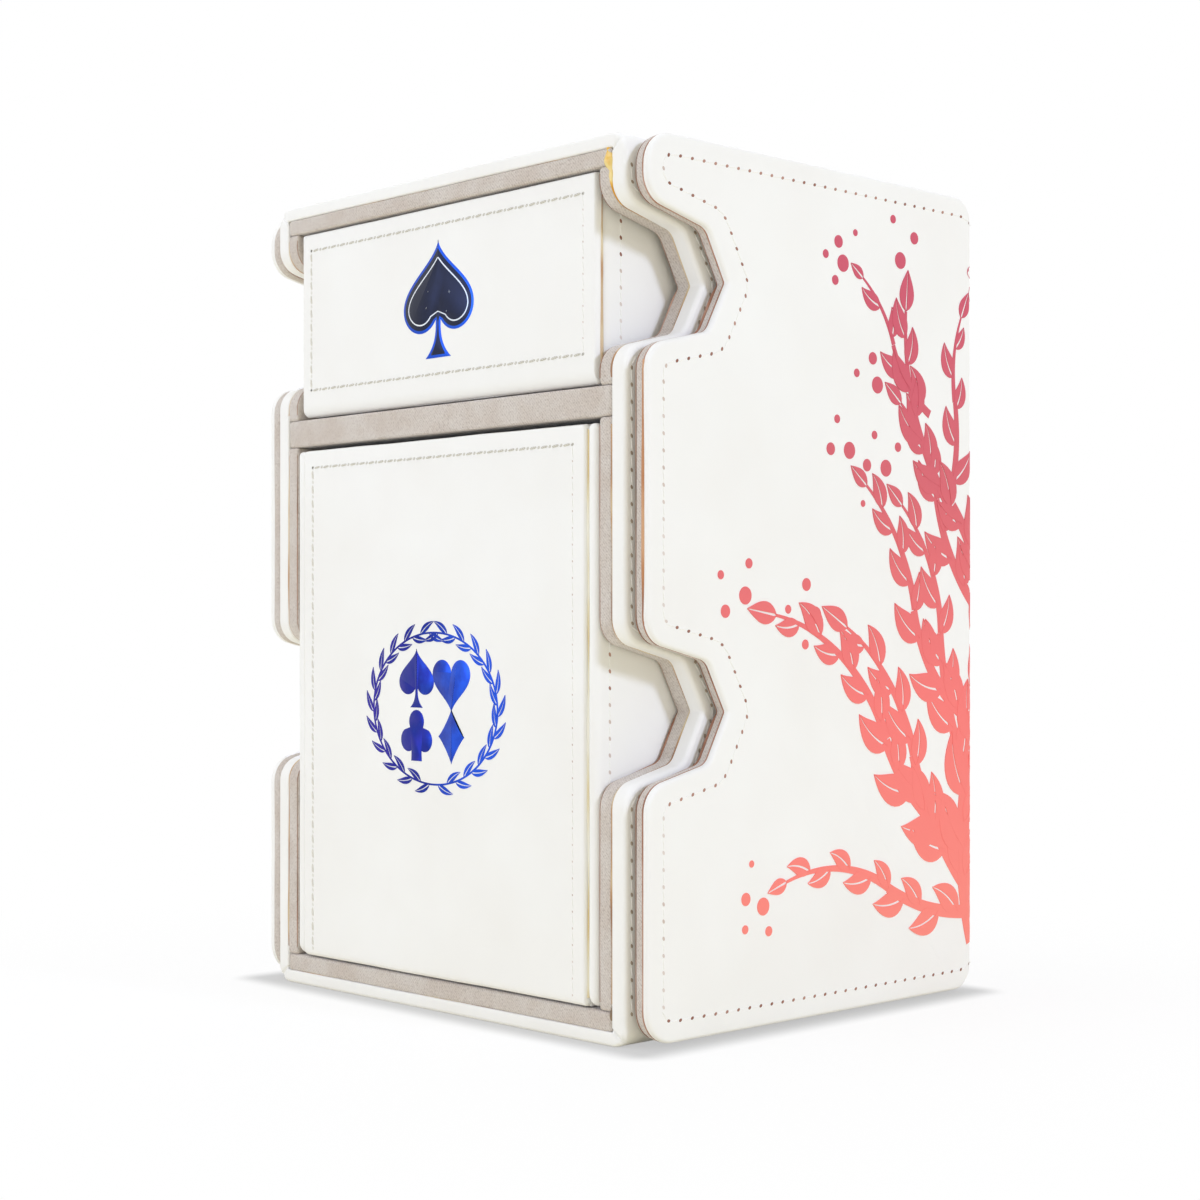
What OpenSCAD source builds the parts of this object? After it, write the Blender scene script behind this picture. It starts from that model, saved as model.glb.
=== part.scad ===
// Playing card box: a leather-wrapped case with a small upper drawer, a tall lower card tray
// and two book-like side covers hinged at the back edges.
// Millimetres. +Z is up, the drawer fronts face -Y and +X is the viewer's right.
// The origin is on the floor, under the middle of the closed box.

/* [Case] */
// Width over the outer faces of the side walls
case_w = 95; // [90:1:110]
// Depth from the front edges of the case to the outer face of the spine
box_d = 86; // [82:1:100]
// Thickness of a leather-wrapped side wall
wall_t = 3.2; // [3:0.1:4]
// Thickness of the leather-wrapped top and bottom decks
deck_t = 2.4; // [2.2:0.1:3.2]
// Thickness of the back wall
back_wall_t = 2.4; // [2:0.1:3]
// Radius of the soft edges of a leather-wrapped board
wrap_r = 0.8; // [0.6:0.1:1.1]

/* [Linings] */
// Thickness of a suede-wrapped side lining
lining_t = 2.9; // [2.4:0.1:3.2]
// Thickness of the lining board over the bottom deck
floor_lining_t = 3.1; // [2.4:0.1:3.4]
// Thickness of the lining board under the top deck
top_lining_t = 2.8; // [2.4:0.1:3.4]
// Thickness of the suede on the back wall
back_lining_t = 1.4; // [1:0.1:2]
// Thickness of the suede-wrapped shelf between the two bays
shelf_t = 5; // [4:0.5:6]
// Radius of the soft edges of a suede-wrapped board
suede_r = 0.5; // [0.4:0.1:0.9]

/* [Bays] */
// Height of the lower bay, for the card tray
tray_bay_h = 96; // [92:1:104]
// Height of the upper bay, for the drawer
drawer_bay_h = 35.3; // [34:0.1:45]

/* [Finger notches] */
// Half height of a notch at its mouth
mouth_h = 11.8; // [11:0.1:12.5]
// Half height of a notch at its waist, where the sides turn in to the point
waist_h = 8.4; // [7:0.1:9]
// Depth from the waist to the point of the gem shape
point_d = 4.6; // [4:0.1:6]
// Depth of the point behind the front edge of the case
case_notch_d = 18; // [16:0.1:20]
// Depth of the point behind the front edge of a cover
cover_notch_d = 18.8; // [18:0.1:22]
// Radius of the fingers beside a notch
finger_r = 4.6; // [3:0.1:4.6]
// Radius in the waists of a notch
waist_r = 3; // [0.6:0.1:3.4]
// Radius in the point of a notch
point_r = 0.6; // [0.4:0.1:1]

/* [Upper drawer] */
// Width of the upper drawer
drawer_w = 81.6; // [80:0.1:82]
// How far the drawer front lies behind the front edges of the case
drawer_recess = 0.5; // [0:0.1:1]
// Thickness of the stitched leather facing
facing_t = 1.4; // [1:0.1:1.6]
// Radius of the rolled bottom edge of the drawer facing
roll_r = 1.4; // [0.8:0.1:1.4]
// Radius of the top edge of a facing
facing_top_r = 0.4; // [0.2:0.1:0.8]

/* [Lower tray] */
// Width of the card tray
tray_w = 82.2; // [80:0.1:82.2]
// How far the tray front stands out of the case
tray_proud = 0.5; // [0.3:0.1:1]
// How far the side walls of the tray end behind its facing
tray_wall_back = 0.3; // [0:0.1:0.5]
// Radius of the rolled bottom edge of the tray facing
tray_roll_r = 1; // [0.6:0.1:1.3]
// Gap between the tray and the shelf above it
tray_head_gap = 0.9; // [0.5:0.1:2]

/* [Drawer boards] */
// Thickness of the leather-wrapped drawer walls
box_wall_t = 2.4; // [2:0.1:3]
// Thickness of the board behind a facing
front_board_t = 1.8; // [1.2:0.1:2.4]
// Thickness of the drawer floors
box_floor_t = 2; // [1.6:0.1:2.4]
// Thickness of the suede mats in the drawers
mat_t = 0.8; // [0.5:0.1:1.2]
// Radius of the upper edges of the front boards and the back walls
board_top_r = 0.8; // [0.4:0.1:0.9]
// Radius of the lower and rear edges of the drawer walls
wall_foot_r = 0.4; // [0.2:0.1:0.8]

/* [Covers] */
// Air between a cover and the side wall of the case
cover_gap = 0.8; // [0.6:0.1:1.2]
// Thickness of the suede-wrapped board of a cover
cover_board_t = 2.2; // [1.8:0.1:2.6]
// Thickness of the outer leather of the covers and the spine
leather_t = 1.2; // [1:0.1:1.4]
// How far the front edge of a cover lies behind the front edges of the case
cover_setback = 1; // [0.5:0.1:2]
// Height of the lower edge of the covers above the floor
cover_low = 0.8; // [0.5:0.1:1.5]
// How far the upper edge of the covers lies below the top of the case
cover_top_gap = 0.3; // [0.2:0.1:1]
// Radius of the front corners of a cover
cover_corner_r = 5.6; // [4:0.1:6]
// Radius of the rounded rim of the outer leather
leather_rim_r = 0.8; // [0.5:0.1:1]
// Radius of the back corners of the covers and of the spine corners
spine_r = 4; // [3:0.5:6]
// Thickness of the suede that wraps the board of a cover
suede_t = 0.6; // [0.5:0.1:0.8]

/* [Magnets] */
// Radius of a magnet disc
magnet_r = 4; // [3:0.5:5]
// Thickness of a magnet disc in the case wall
magnet_t = 1.6; // [1.2:0.1:1.8]

/* [Hidden] */

leather_white = "#f5f4f0";
suede_grey = "#cfc7c0";
board_grey = "#a89f92";
steel_grey = "#b9bcc0";

// Running clearance between two pieces that slide or turn past each other
fit_gap = 0.3;

// Heights from the floor up
tray_bay_low = deck_t + floor_lining_t;
tray_bay_high = tray_bay_low + tray_bay_h;
drawer_bay_low = tray_bay_high + shelf_t;
drawer_bay_high = drawer_bay_low + drawer_bay_h;
case_h = drawer_bay_high + top_lining_t + deck_t;
wall_low = deck_t;
wall_high = case_h - deck_t;
tray_notch_z = (tray_bay_low + tray_bay_high) / 2;
drawer_notch_z = (drawer_bay_low + drawer_bay_high) / 2;

// Depths from the front to the back, with the closed box centred on Y = 0
y_spine = (box_d + tray_proud) / 2;
y_front = y_spine - box_d;
y_case_back = y_spine - leather_t - cover_board_t;
y_back_wall = y_case_back - back_wall_t;
y_bay_back = y_back_wall - back_lining_t;

// Half widths
wall_out = case_w / 2;
wall_in = wall_out - wall_t;
bay_half = wall_in - lining_t;

// Hinge axis of a cover: the inner face of the leather, where it bends round the back edge
hinge_x = wall_out + cover_gap + cover_board_t;
hinge_y = y_spine - leather_t;
// The cover's pieces end this far in front of the axis, and the fold joins them to it
fold_reach = leather_t + fit_gap;
cover_front = y_front + cover_setback;
cover_back = hinge_y - fold_reach;
cover_high = case_h - cover_top_gap;

// Drawer pieces, with the drawer pushed against the right-hand side of its bay
drawer_x = bay_half - fit_gap - drawer_w / 2;
drawer_low = drawer_bay_low + 0.5;
drawer_high = drawer_bay_high - fit_gap;
drawer_front = y_front + drawer_recess;
box_back = y_bay_back - 0.5;
tray_low = tray_bay_low + fit_gap;
tray_high = tray_bay_high - tray_head_gap;
tray_front = y_front - tray_proud;

// Magnet centres as [y, z]: one in each finger, near the front edge
magnet_places = [
    [y_front + 10, tray_bay_low + 12],
    [y_front + 10, (tray_notch_z + drawer_notch_z) / 2 - 5]
];

// ---- Outlines ----------------------------------------------------------------------------
// A side outline lists its corners anticlockwise: a point of the back edge level with the upper
// notch, the back and front top corners, the notches, the front and back bottom corners and,
// if there are two notches, a point of the back edge level with the lower one.
// A corner is [y, z, radius, soft]. soft is 1 if the edge that leaves the corner is a soft,
// wrapped edge, and 0 if it butts against another board.

arc_steps = 5;
// Index of the first corner of the lower notch in an outline with two notches
first_below = 8;

function unit(v) = v / norm(v);
function wrap(i, n) = (i + n) % n;
function point(c) = [c[0], c[1]];

// Inward normal of the edge from corner i to the next, on an anticlockwise outline
function inward(cs, i) =
    let (e = unit(point(cs[wrap(i + 1, len(cs))]) - point(cs[i]))) [-e[1], e[0]];

// Corner i of the outline after every soft edge has moved inwards by d
function moved(cs, i, d) =
    let (
        before = wrap(i - 1, len(cs)),
        n1 = inward(cs, before), n2 = inward(cs, i),
        d1 = d * cs[before][3], d2 = d * cs[i][3],
        c = n1 * n2, s = 1 - c * c
    )
    s < 0.0001 ? point(cs[i]) + n1 * d1
               : point(cs[i]) + (n1 * (d1 - d2 * c) + n2 * (d2 - d1 * c)) / s;

// Radius of corner i after the move: outer corners tighten and inner corners open
function moved_radius(cs, i, d) =
    let (
        n1 = inward(cs, wrap(i - 1, len(cs))), n2 = inward(cs, i),
        turns_out = n1[0] * n2[1] - n1[1] * n2[0] > 0
    )
    cs[i][2] == 0 ? 0 : turns_out ? cs[i][2] - d : cs[i][2] + d;

// Points of the arc of radius r that rounds corner q between its neighbours p and s
function corner_arc(p, q, s, r) =
    r == 0 ? [q] :
    let (
        a = unit(p - q), b = unit(s - q), half = acos(a * b) / 2,
        centre = q + unit(a + b) * r / sin(half),
        from = q + a * r / tan(half) - centre, to = q + b * r / tan(half) - centre,
        a0 = atan2(from[1], from[0]), a1 = atan2(to[1], to[0]),
        sweep = (a1 - a0 + 540) % 360 - 180
    )
    [for (k = [0:arc_steps]) let (angle = a0 + sweep * k / arc_steps)
        centre + r * [cos(angle), sin(angle)]];

// The whole outline with its soft edges moved inwards by d
function outline(cs, d = 0) =
    let (n = len(cs), q = [for (i = [0:n - 1]) moved(cs, i, d)])
    [for (i = [0:n - 1])
        each corner_arc(q[wrap(i - 1, n)], q[i], q[wrap(i + 1, n)], moved_radius(cs, i, d))];

// Corners of one gem-shaped notch, from its upper finger down to its lower finger
function notch(front, z, depth) = [
    [front, z + mouth_h, finger_r, 1],
    [front + depth - point_d, z + waist_h, waist_r, 1],
    [front + depth, z, point_r, 1],
    [front + depth - point_d, z - waist_h, waist_r, 1],
    [front, z - mouth_h, finger_r, 1]
];

// Side wall of the case: square at the decks and at the back, soft along the front
function wall_corners() = concat(
    [[y_case_back, drawer_notch_z, 0, 0], [y_case_back, wall_high, 0, 0], [y_front, wall_high, 0, 1]],
    notch(y_front, drawer_notch_z, case_notch_d),
    notch(y_front, tray_notch_z, case_notch_d),
    [[y_front, wall_low, 0, 0], [y_case_back, wall_low, 0, 0], [y_case_back, tray_notch_z, 0, 0]]);

// Side lining of one bay
function lining_corners(low, high, notch_z) = concat(
    [[y_back_wall, notch_z, 0, 0], [y_back_wall, high, 0, 0], [y_front, high, 0, 1]],
    notch(y_front, notch_z, case_notch_d),
    [[y_front, low, 0, 0], [y_back_wall, low, 0, 0]]);

// Cover panel: soft all round, with wide corners at the spine
function cover_corners() = concat(
    [[cover_back, drawer_notch_z, 0, 1], [cover_back, cover_high, spine_r, 1],
     [cover_front, cover_high, cover_corner_r, 1]],
    notch(cover_front, drawer_notch_z, cover_notch_d),
    notch(cover_front, tray_notch_z, cover_notch_d),
    [[cover_front, cover_low, cover_corner_r, 1], [cover_back, cover_low, spine_r, 1],
     [cover_back, tray_notch_z, 0, 1]]);

// ---- Shared shapes -----------------------------------------------------------------------

// Number of outline points up to the first corner of the lower notch
function points_above(cs, corner) =
    corner == 0 ? 0 : points_above(cs, corner - 1) + (cs[corner - 1][2] == 0 ? 1 : arc_steps + 1);

// Flat end faces of a loft whose ring has n points. Each notch has a face of its own that starts
// at the back edge point level with it. split is the first point below the finger between two
// notches, or 0 where there is one notch.
function end_faces(n, split) =
    split == 0 ? [[for (i = [0:n - 1]) i]] :
    [[for (i = [0:split]) i], concat([n - 1, 0], [for (i = [split:n - 2]) i])];

// The same faces seen from the other side, on the ring that starts at point k
function far_faces(faces, k) =
    [for (f = faces) [for (i = [0:len(f) - 1]) k + f[i == 0 ? 0 : len(f) - i]]];

// A board of thickness t standing on the plane X = x0, lofted through rings of the outline.
// Its soft edges are rounded by r_in on the side towards the drawers and by r_out outside.
module soft_board(corners, notches, x0, t, r_in, r_out) {
    s = 1 - sin(45);
    stations = concat(
        r_in > 0 ? [[0, r_in], [s * r_in, s * r_in], [r_in, 0]] : [[0, 0]],
        r_out > 0 ? [[t - r_out, 0], [t - s * r_out, s * r_out], [t, r_out]] : [[t, 0]]);
    rings = [for (st = stations) outline(corners, st[1])];
    n = len(rings[0]);
    m = len(stations);
    points = [for (j = [0:m - 1]) for (p = rings[j]) [x0 + stations[j][0], p[0], p[1]]];
    sides = [for (j = [0:m - 2]) for (i = [0:n - 1]) let (k = (i + 1) % n)
        [j * n + i, (j + 1) * n + i, (j + 1) * n + k, j * n + k]];
    ends = end_faces(n, notches == 1 ? 0 : points_above(corners, first_below));
    polyhedron(points, concat(sides, ends, far_faces(ends, (m - 1) * n)), convexity = 8);
}

// Extrudes a YZ outline along X from x0 over the length t
module along_x(x0, t) {
    translate([x0, 0, 0]) rotate([90, 0, 90]) linear_extrude(t) children();
}

// Extrudes an XZ outline along Y from y0 over the length t
module along_y(y0, t) {
    translate([0, y0 + t, 0]) rotate([90, 0, 0]) linear_extrude(t) children();
}

// Rectangle with its own radius at each corner, in the order low-left, low-right, high-right,
// high-left. A radius of 0 leaves the corner square.
module soft_rect(x0, y0, x1, y1, r) {
    places = [[x0, y0, 1, 1], [x1, y0, -1, 1], [x1, y1, -1, -1], [x0, y1, 1, -1]];
    difference() {
        translate([x0, y0]) square([x1 - x0, y1 - y0]);
        for (i = [0:3]) if (r[i] > 0) translate([places[i][0], places[i][1]])
            scale([places[i][2], places[i][3]]) difference() {
                translate([-1, -1]) square(r[i] + 1);
                translate([r[i], r[i]]) circle(r[i], $fn = 48);
            }
    }
}

// A deck or lining board across the case: soft front edges of radius r
module cross_board(half_w, y_back, low, high, r) {
    along_x(-half_w, 2 * half_w) soft_rect(y_front, low, y_back, high, [r, 0, 0, r]);
}

// Flat board given by its two opposite corners
module board(a, b) {
    translate(a) cube(b - a);
}

// ---- Case --------------------------------------------------------------------------------

// The decks reach over the side walls, and their ends roll down into the wall faces
module case_bottom_deck() {
    color(leather_white) intersection() {
        cross_board(wall_out, y_case_back, 0, deck_t, wrap_r);
        along_y(y_front, y_case_back - y_front)
            soft_rect(-wall_out, 0, wall_out, deck_t, [deck_t - 0.05, deck_t - 0.05, 0, 0]);
    }
}

module case_top_deck() {
    color(leather_white) intersection() {
        cross_board(wall_out, y_case_back, case_h - deck_t, case_h, wrap_r);
        along_y(y_front, y_case_back - y_front)
            soft_rect(-wall_out, case_h - deck_t, wall_out, case_h, [0, 0, deck_t - 0.05, deck_t - 0.05]);
    }
}

// Blind pockets for the magnets, open towards the lining
module magnet_discs(x0, t) {
    for (p = magnet_places) translate([x0, p[0], p[1]]) rotate([0, 90, 0])
        cylinder(r = magnet_r, h = t, $fn = 48);
}

module case_right_wall() {
    color(leather_white) difference() {
        soft_board(wall_corners(), 2, wall_in, wall_t, wrap_r, wrap_r);
        magnet_discs(wall_in, magnet_t);
    }
}

module case_left_wall() {
    mirror([1, 0, 0]) case_right_wall();
}

module case_back_wall() {
    color(leather_white) board([-wall_in, y_back_wall, wall_low], [wall_in, y_case_back, wall_high]);
}

module case_magnets() {
    color(steel_grey) {
        magnet_discs(wall_in, magnet_t);
        mirror([1, 0, 0]) magnet_discs(wall_in, magnet_t);
    }
}

module floor_lining() {
    color(suede_grey) cross_board(wall_in, y_back_wall, deck_t, tray_bay_low, suede_r);
}

module top_lining() {
    color(suede_grey) cross_board(wall_in, y_back_wall, drawer_bay_high, wall_high, suede_r);
}

module divider_shelf() {
    color(suede_grey) cross_board(wall_in, y_back_wall, tray_bay_high, drawer_bay_low, suede_r);
}

module side_lining(low, high, notch_z) {
    color(suede_grey) soft_board(lining_corners(low, high, notch_z), 1, bay_half,
        lining_t, suede_r, suede_r);
}

module lower_right_lining() side_lining(tray_bay_low, tray_bay_high, tray_notch_z);
module lower_left_lining() mirror([1, 0, 0]) lower_right_lining();
module upper_right_lining() side_lining(drawer_bay_low, drawer_bay_high, drawer_notch_z);
module upper_left_lining() mirror([1, 0, 0]) upper_right_lining();

module lower_back_lining() {
    color(suede_grey) board(
        [-bay_half, y_bay_back, tray_bay_low], [bay_half, y_back_wall, tray_bay_high]);
}

module upper_back_lining() {
    color(suede_grey) board(
        [-bay_half, y_bay_back, drawer_bay_low], [bay_half, y_back_wall, drawer_bay_high]);
}

// ---- Spine -------------------------------------------------------------------------------

module spine_board() {
    color(suede_grey) along_y(y_case_back, cover_board_t)
        soft_rect(-wall_out, cover_low, wall_out, cover_high, [1, 1, 1, 1] * spine_r);
}

// The leather stops just short of the two hinge folds
module spine_leather() {
    spine_half = hinge_x - fold_reach;
    color(leather_white) along_y(hinge_y, leather_t)
        soft_rect(-spine_half, cover_low, spine_half, cover_high, [1, 1, 1, 1] * spine_r);
}

// ---- Drawers -----------------------------------------------------------------------------

// Side wall of a drawer: XY outline with a soft front end, cut by an XZ outline with a soft top
module drawer_side(x_out, front, low, high) {
    x0 = x_out - box_wall_t;
    r = box_wall_t / 2 - 0.1;
    color(leather_white) intersection() {
        translate([0, 0, low]) linear_extrude(high - low)
            soft_rect(x0, front, x_out, box_back, [r, r, wall_foot_r, wall_foot_r]);
        along_y(front, box_back - front)
            soft_rect(x0, low, x_out, high, [wall_foot_r, wall_foot_r, r, r]);
    }
}

module upper_drawer_facing() {
    color(leather_white) along_x(drawer_x - drawer_w / 2, drawer_w)
        soft_rect(drawer_front, drawer_low, drawer_front + facing_t, drawer_high,
            [min(roll_r, facing_t - 0.05), 0, 0, facing_top_r]);
}

// Centre of the drawer's width is drawer_x, so the two side walls differ
module upper_drawer_right_wall() {
    drawer_side(drawer_x + drawer_w / 2, drawer_front + facing_t, drawer_low, drawer_high);
}

module upper_drawer_left_wall() {
    drawer_side(drawer_x - drawer_w / 2 + box_wall_t, drawer_front + facing_t, drawer_low, drawer_high);
}

module upper_drawer_front_board() {
    h = drawer_w / 2 - box_wall_t;
    y0 = drawer_front + facing_t;
    color(leather_white) along_x(drawer_x - h, 2 * h)
        soft_rect(y0, drawer_low, y0 + front_board_t, drawer_high,
            [0, 0, board_top_r, board_top_r]);
}

module upper_drawer_back_wall() {
    h = drawer_w / 2 - box_wall_t;
    color(leather_white) along_x(drawer_x - h, 2 * h)
        soft_rect(box_back - box_wall_t, drawer_low, box_back, drawer_high,
            [0, 0, board_top_r, board_top_r]);
}

module upper_drawer_floor() {
    h = drawer_w / 2 - box_wall_t;
    color(leather_white) board(
        [drawer_x - h, drawer_front + facing_t + front_board_t, drawer_low],
        [drawer_x + h, box_back - box_wall_t, drawer_low + box_floor_t]);
}

module upper_drawer_mat() {
    h = drawer_w / 2 - box_wall_t;
    color(suede_grey) board(
        [drawer_x - h, drawer_front + facing_t + front_board_t, drawer_low + box_floor_t],
        [drawer_x + h, box_back - box_wall_t, drawer_low + box_floor_t + mat_t]);
}

// The tray's facing lies between the front ends of its side walls and rolls under the floor
module lower_tray_facing() {
    h = tray_w / 2 - box_wall_t;
    color(leather_white) along_x(-h, 2 * h)
        soft_rect(tray_front, tray_low, tray_front + facing_t, tray_high,
            [tray_roll_r, 0, 0, facing_top_r]);
}

module lower_tray_front_board() {
    h = tray_w / 2 - box_wall_t;
    y0 = tray_front + facing_t;
    color(leather_white) along_x(-h, 2 * h)
        soft_rect(y0, tray_low, y0 + front_board_t, tray_high, [0, 0, board_top_r, board_top_r]);
}

module lower_tray_right_wall() {
    drawer_side(tray_w / 2, tray_front + tray_wall_back, tray_low, tray_high);
}

module lower_tray_left_wall() {
    mirror([1, 0, 0]) lower_tray_right_wall();
}

module lower_tray_back_wall() {
    h = tray_w / 2 - box_wall_t;
    color(leather_white) along_x(-h, 2 * h)
        soft_rect(box_back - box_wall_t, tray_low, box_back, tray_high,
            [0, 0, board_top_r, board_top_r]);
}

module lower_tray_floor() {
    h = tray_w / 2 - box_wall_t;
    color(leather_white) board(
        [-h, tray_front + facing_t + front_board_t, tray_low],
        [h, box_back - box_wall_t, tray_low + box_floor_t]);
}

module lower_tray_mat() {
    h = tray_w / 2 - box_wall_t;
    color(suede_grey) board(
        [-h, tray_front + facing_t + front_board_t, tray_low + box_floor_t],
        [h, box_back - box_wall_t, tray_low + box_floor_t + mat_t]);
}

// ---- Covers ------------------------------------------------------------------------------

cover_in = wall_out + cover_gap;
// Rim of suede round the board of a cover
rim_t = 0.8;

module right_cover_leather() {
    color(leather_white) soft_board(cover_corners(), 2, hinge_x, leather_t, 0, leather_rim_r);
}

// Suede face with a rim that wraps the stiff board, open towards the leather
module right_cover_lining() {
    color(suede_grey) difference() {
        soft_board(cover_corners(), 2, cover_in, cover_board_t, suede_r, 0);
        along_x(cover_in + suede_t, cover_board_t) polygon(outline(cover_corners(), rim_t));
    }
}

module right_cover_board() {
    color(board_grey) difference() {
        along_x(cover_in + suede_t, cover_board_t - suede_t) polygon(outline(cover_corners(), rim_t));
        magnet_discs(cover_in + suede_t, cover_board_t);
    }
}

module right_cover_magnets() {
    color(steel_grey) magnet_discs(cover_in + suede_t, cover_board_t - suede_t);
}

// Leather bead that the cover turns on, with the tab that joins it to the panel
module right_hinge_fold() {
    low = cover_low + spine_r;
    color(leather_white) translate([hinge_x, hinge_y, low]) linear_extrude(cover_high - spine_r - low) {
        circle(leather_t, $fn = 64);
        translate([0, -fold_reach]) square([leather_t, fold_reach]);
    }
}

module left_cover_leather() mirror([1, 0, 0]) right_cover_leather();
module left_cover_lining() mirror([1, 0, 0]) right_cover_lining();
module left_cover_board() mirror([1, 0, 0]) right_cover_board();
module left_cover_magnets() mirror([1, 0, 0]) right_cover_magnets();
module left_hinge_fold() mirror([1, 0, 0]) right_hinge_fold();

// ---- Assembly ----------------------------------------------------------------------------

case_bottom_deck();
case_top_deck();
case_right_wall();
case_left_wall();
case_back_wall();
floor_lining();
top_lining();
divider_shelf();
lower_right_lining();
lower_left_lining();
upper_right_lining();
upper_left_lining();
lower_back_lining();
upper_back_lining();
spine_board();
spine_leather();
case_magnets();
upper_drawer_facing();
upper_drawer_front_board();
upper_drawer_right_wall();
upper_drawer_left_wall();
upper_drawer_back_wall();
upper_drawer_floor();
upper_drawer_mat();
lower_tray_facing();
lower_tray_front_board();
lower_tray_right_wall();
lower_tray_left_wall();
lower_tray_back_wall();
lower_tray_floor();
lower_tray_mat();
right_cover_leather();
right_cover_board();
right_cover_lining();
right_cover_magnets();
right_hinge_fold();
left_cover_leather();
left_cover_board();
left_cover_lining();
left_cover_magnets();
left_hinge_fold();
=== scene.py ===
"""Looks of a leather-wrapped playing card box: case, two drawers, hinged covers, stitching and foil.

Lengths are millimetres in the part's frame: +Z up, the drawers face -Y, +X is the viewer's right.
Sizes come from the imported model's own pieces, and every mesh is computed as whole numpy arrays.
"""

import logging
import math
from dataclasses import dataclass, replace
from enum import Enum
from typing import Any, Callable, Iterable, Sequence

import bpy
import numpy as np
from numpy.typing import NDArray
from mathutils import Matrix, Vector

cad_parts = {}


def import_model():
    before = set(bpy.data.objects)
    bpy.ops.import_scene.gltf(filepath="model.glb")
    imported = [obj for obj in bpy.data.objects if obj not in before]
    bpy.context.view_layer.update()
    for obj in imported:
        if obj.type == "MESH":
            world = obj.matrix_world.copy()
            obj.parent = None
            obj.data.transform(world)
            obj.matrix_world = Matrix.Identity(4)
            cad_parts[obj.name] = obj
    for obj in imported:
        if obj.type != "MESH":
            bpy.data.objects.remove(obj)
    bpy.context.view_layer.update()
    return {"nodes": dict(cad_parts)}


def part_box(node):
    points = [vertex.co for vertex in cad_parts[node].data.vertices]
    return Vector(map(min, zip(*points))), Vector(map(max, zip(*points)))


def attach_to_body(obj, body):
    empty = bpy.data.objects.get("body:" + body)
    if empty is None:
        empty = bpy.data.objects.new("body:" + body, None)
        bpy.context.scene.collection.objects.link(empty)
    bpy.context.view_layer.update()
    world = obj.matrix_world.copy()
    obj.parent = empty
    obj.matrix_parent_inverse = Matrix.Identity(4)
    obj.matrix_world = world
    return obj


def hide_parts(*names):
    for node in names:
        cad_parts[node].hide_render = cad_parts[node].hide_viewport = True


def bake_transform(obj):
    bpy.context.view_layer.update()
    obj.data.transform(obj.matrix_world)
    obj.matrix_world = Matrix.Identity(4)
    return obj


Array = NDArray[np.float64]
Tree = bpy.types.NodeTree
Node = bpy.types.Node
Socket = bpy.types.NodeSocket
Stops = Sequence[tuple[float, str]]
LOG = logging.getLogger("card_box")
MM = 0.001
# Heights of the finger notches' points, the same in the walls, the linings and the covers
NOTCH_ZS = (53.5, 124.15)


# ---- Measuring ---------------------------------------------------------------------------


class Side(Enum):
    """Left or right half of the box, as the sign of X."""

    RIGHT = 1.0
    LEFT = -1.0

    @property
    def word(self) -> str:
        """The side's name as the nodes spell it."""
        return self.name.lower()


def node_box(node: str) -> tuple[list[float], list[float]]:
    """Lowest and highest corner of a CAD node, in millimetres."""
    low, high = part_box(node)
    return [float(c) / MM for c in low], [float(c) / MM for c in high]


def faces_out(low: Sequence[float], high: Sequence[float]) -> tuple[float, float]:
    """Distances from the box's middle to the inner and the outer face of a piece at its side."""
    inner, outer = sorted((abs(low[0]), abs(high[0])))
    return inner, outer


def lower_slopes(z: Array, middles: Sequence[float], rest: float) -> Array:
    """1 on the lower slopes of the finger notches and rest elsewhere; there the raw-edge beads swell, for
    the brown raw edge and the thin shadow in the gap beside it, which is painted shade.
    """
    fade, reach = 2.0, 10.5
    slopes = sum(smooth((middle - z) / fade) * smooth((z - middle + reach) / fade) for middle in middles)
    return rest + (1.0 - rest) * slopes


def unit(vectors: Array) -> Array:
    """Scales vectors along the last axis to length 1."""
    return vectors / np.maximum(np.linalg.norm(vectors, axis=-1, keepdims=True), 1e-9)


def smooth(t: Array) -> Array:
    """Eases a ramp from 0 to 1 with level ends: 3t^2 - 2t^3."""
    t = np.clip(t, 0.0, 1.0)
    return t * t * (3.0 - 2.0 * t)


def bump(distance: Array, width: float) -> Array:
    """A bell of height 1 and the given width, exp(-(distance / width)^2)."""
    return np.exp(-((distance / width) ** 2))


def xyz(x: Array | float, y: Array | float, z: Array | float) -> Array:
    """Points from their coordinates, each an array or one number for all."""
    return np.stack(np.broadcast_arrays(x, y, z), axis=-1)


def turns(count: int) -> Array:
    """Evenly spaced angles once round."""
    return np.arange(count) / count * 2 * math.pi


def on_circle(angle: Array) -> Array:
    """Points of the unit circle at some angles."""
    return np.stack([np.cos(angle), np.sin(angle)], axis=-1)


def run_along(path: Array) -> Array:
    """Distance along a path at each of its points."""
    return np.concatenate([[0], np.cumsum(np.linalg.norm(np.diff(path, axis=0), axis=1))])


def sampled(values: Array, run: Array, at: Array) -> Array:
    """Reads three values kept along a run at other distances along it."""
    return np.stack([np.interp(at, run, values[:, k]) for k in range(3)], axis=1)


def slanted(along: Array, across: Array, angle: float) -> tuple[Array, Array]:
    """Turns two level directions by an angle in their plane."""
    return (along * math.cos(angle) + across * math.sin(angle),
            across * math.cos(angle) - along * math.sin(angle))


def waviness(along: Array, height: float, seed: float) -> Array:
    """Hand-made unevenness along an edge: the sum of two slow sine waves.

    Args:
        along: distance along the edge.
        height: largest departure.
        seed: shifts the waves, so that no two edges match.

    Returns:
        The departure at each point.
    """
    long_wave, short_wave = 41.0, 17.0
    slow = np.sin(2 * math.pi * along / long_wave + seed)
    fast = np.sin(2 * math.pi * along / short_wave + 2.3 * seed)
    return height * (0.65 * slow + 0.35 * fast)


# ---- Finishes ----------------------------------------------------------------------------


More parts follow.
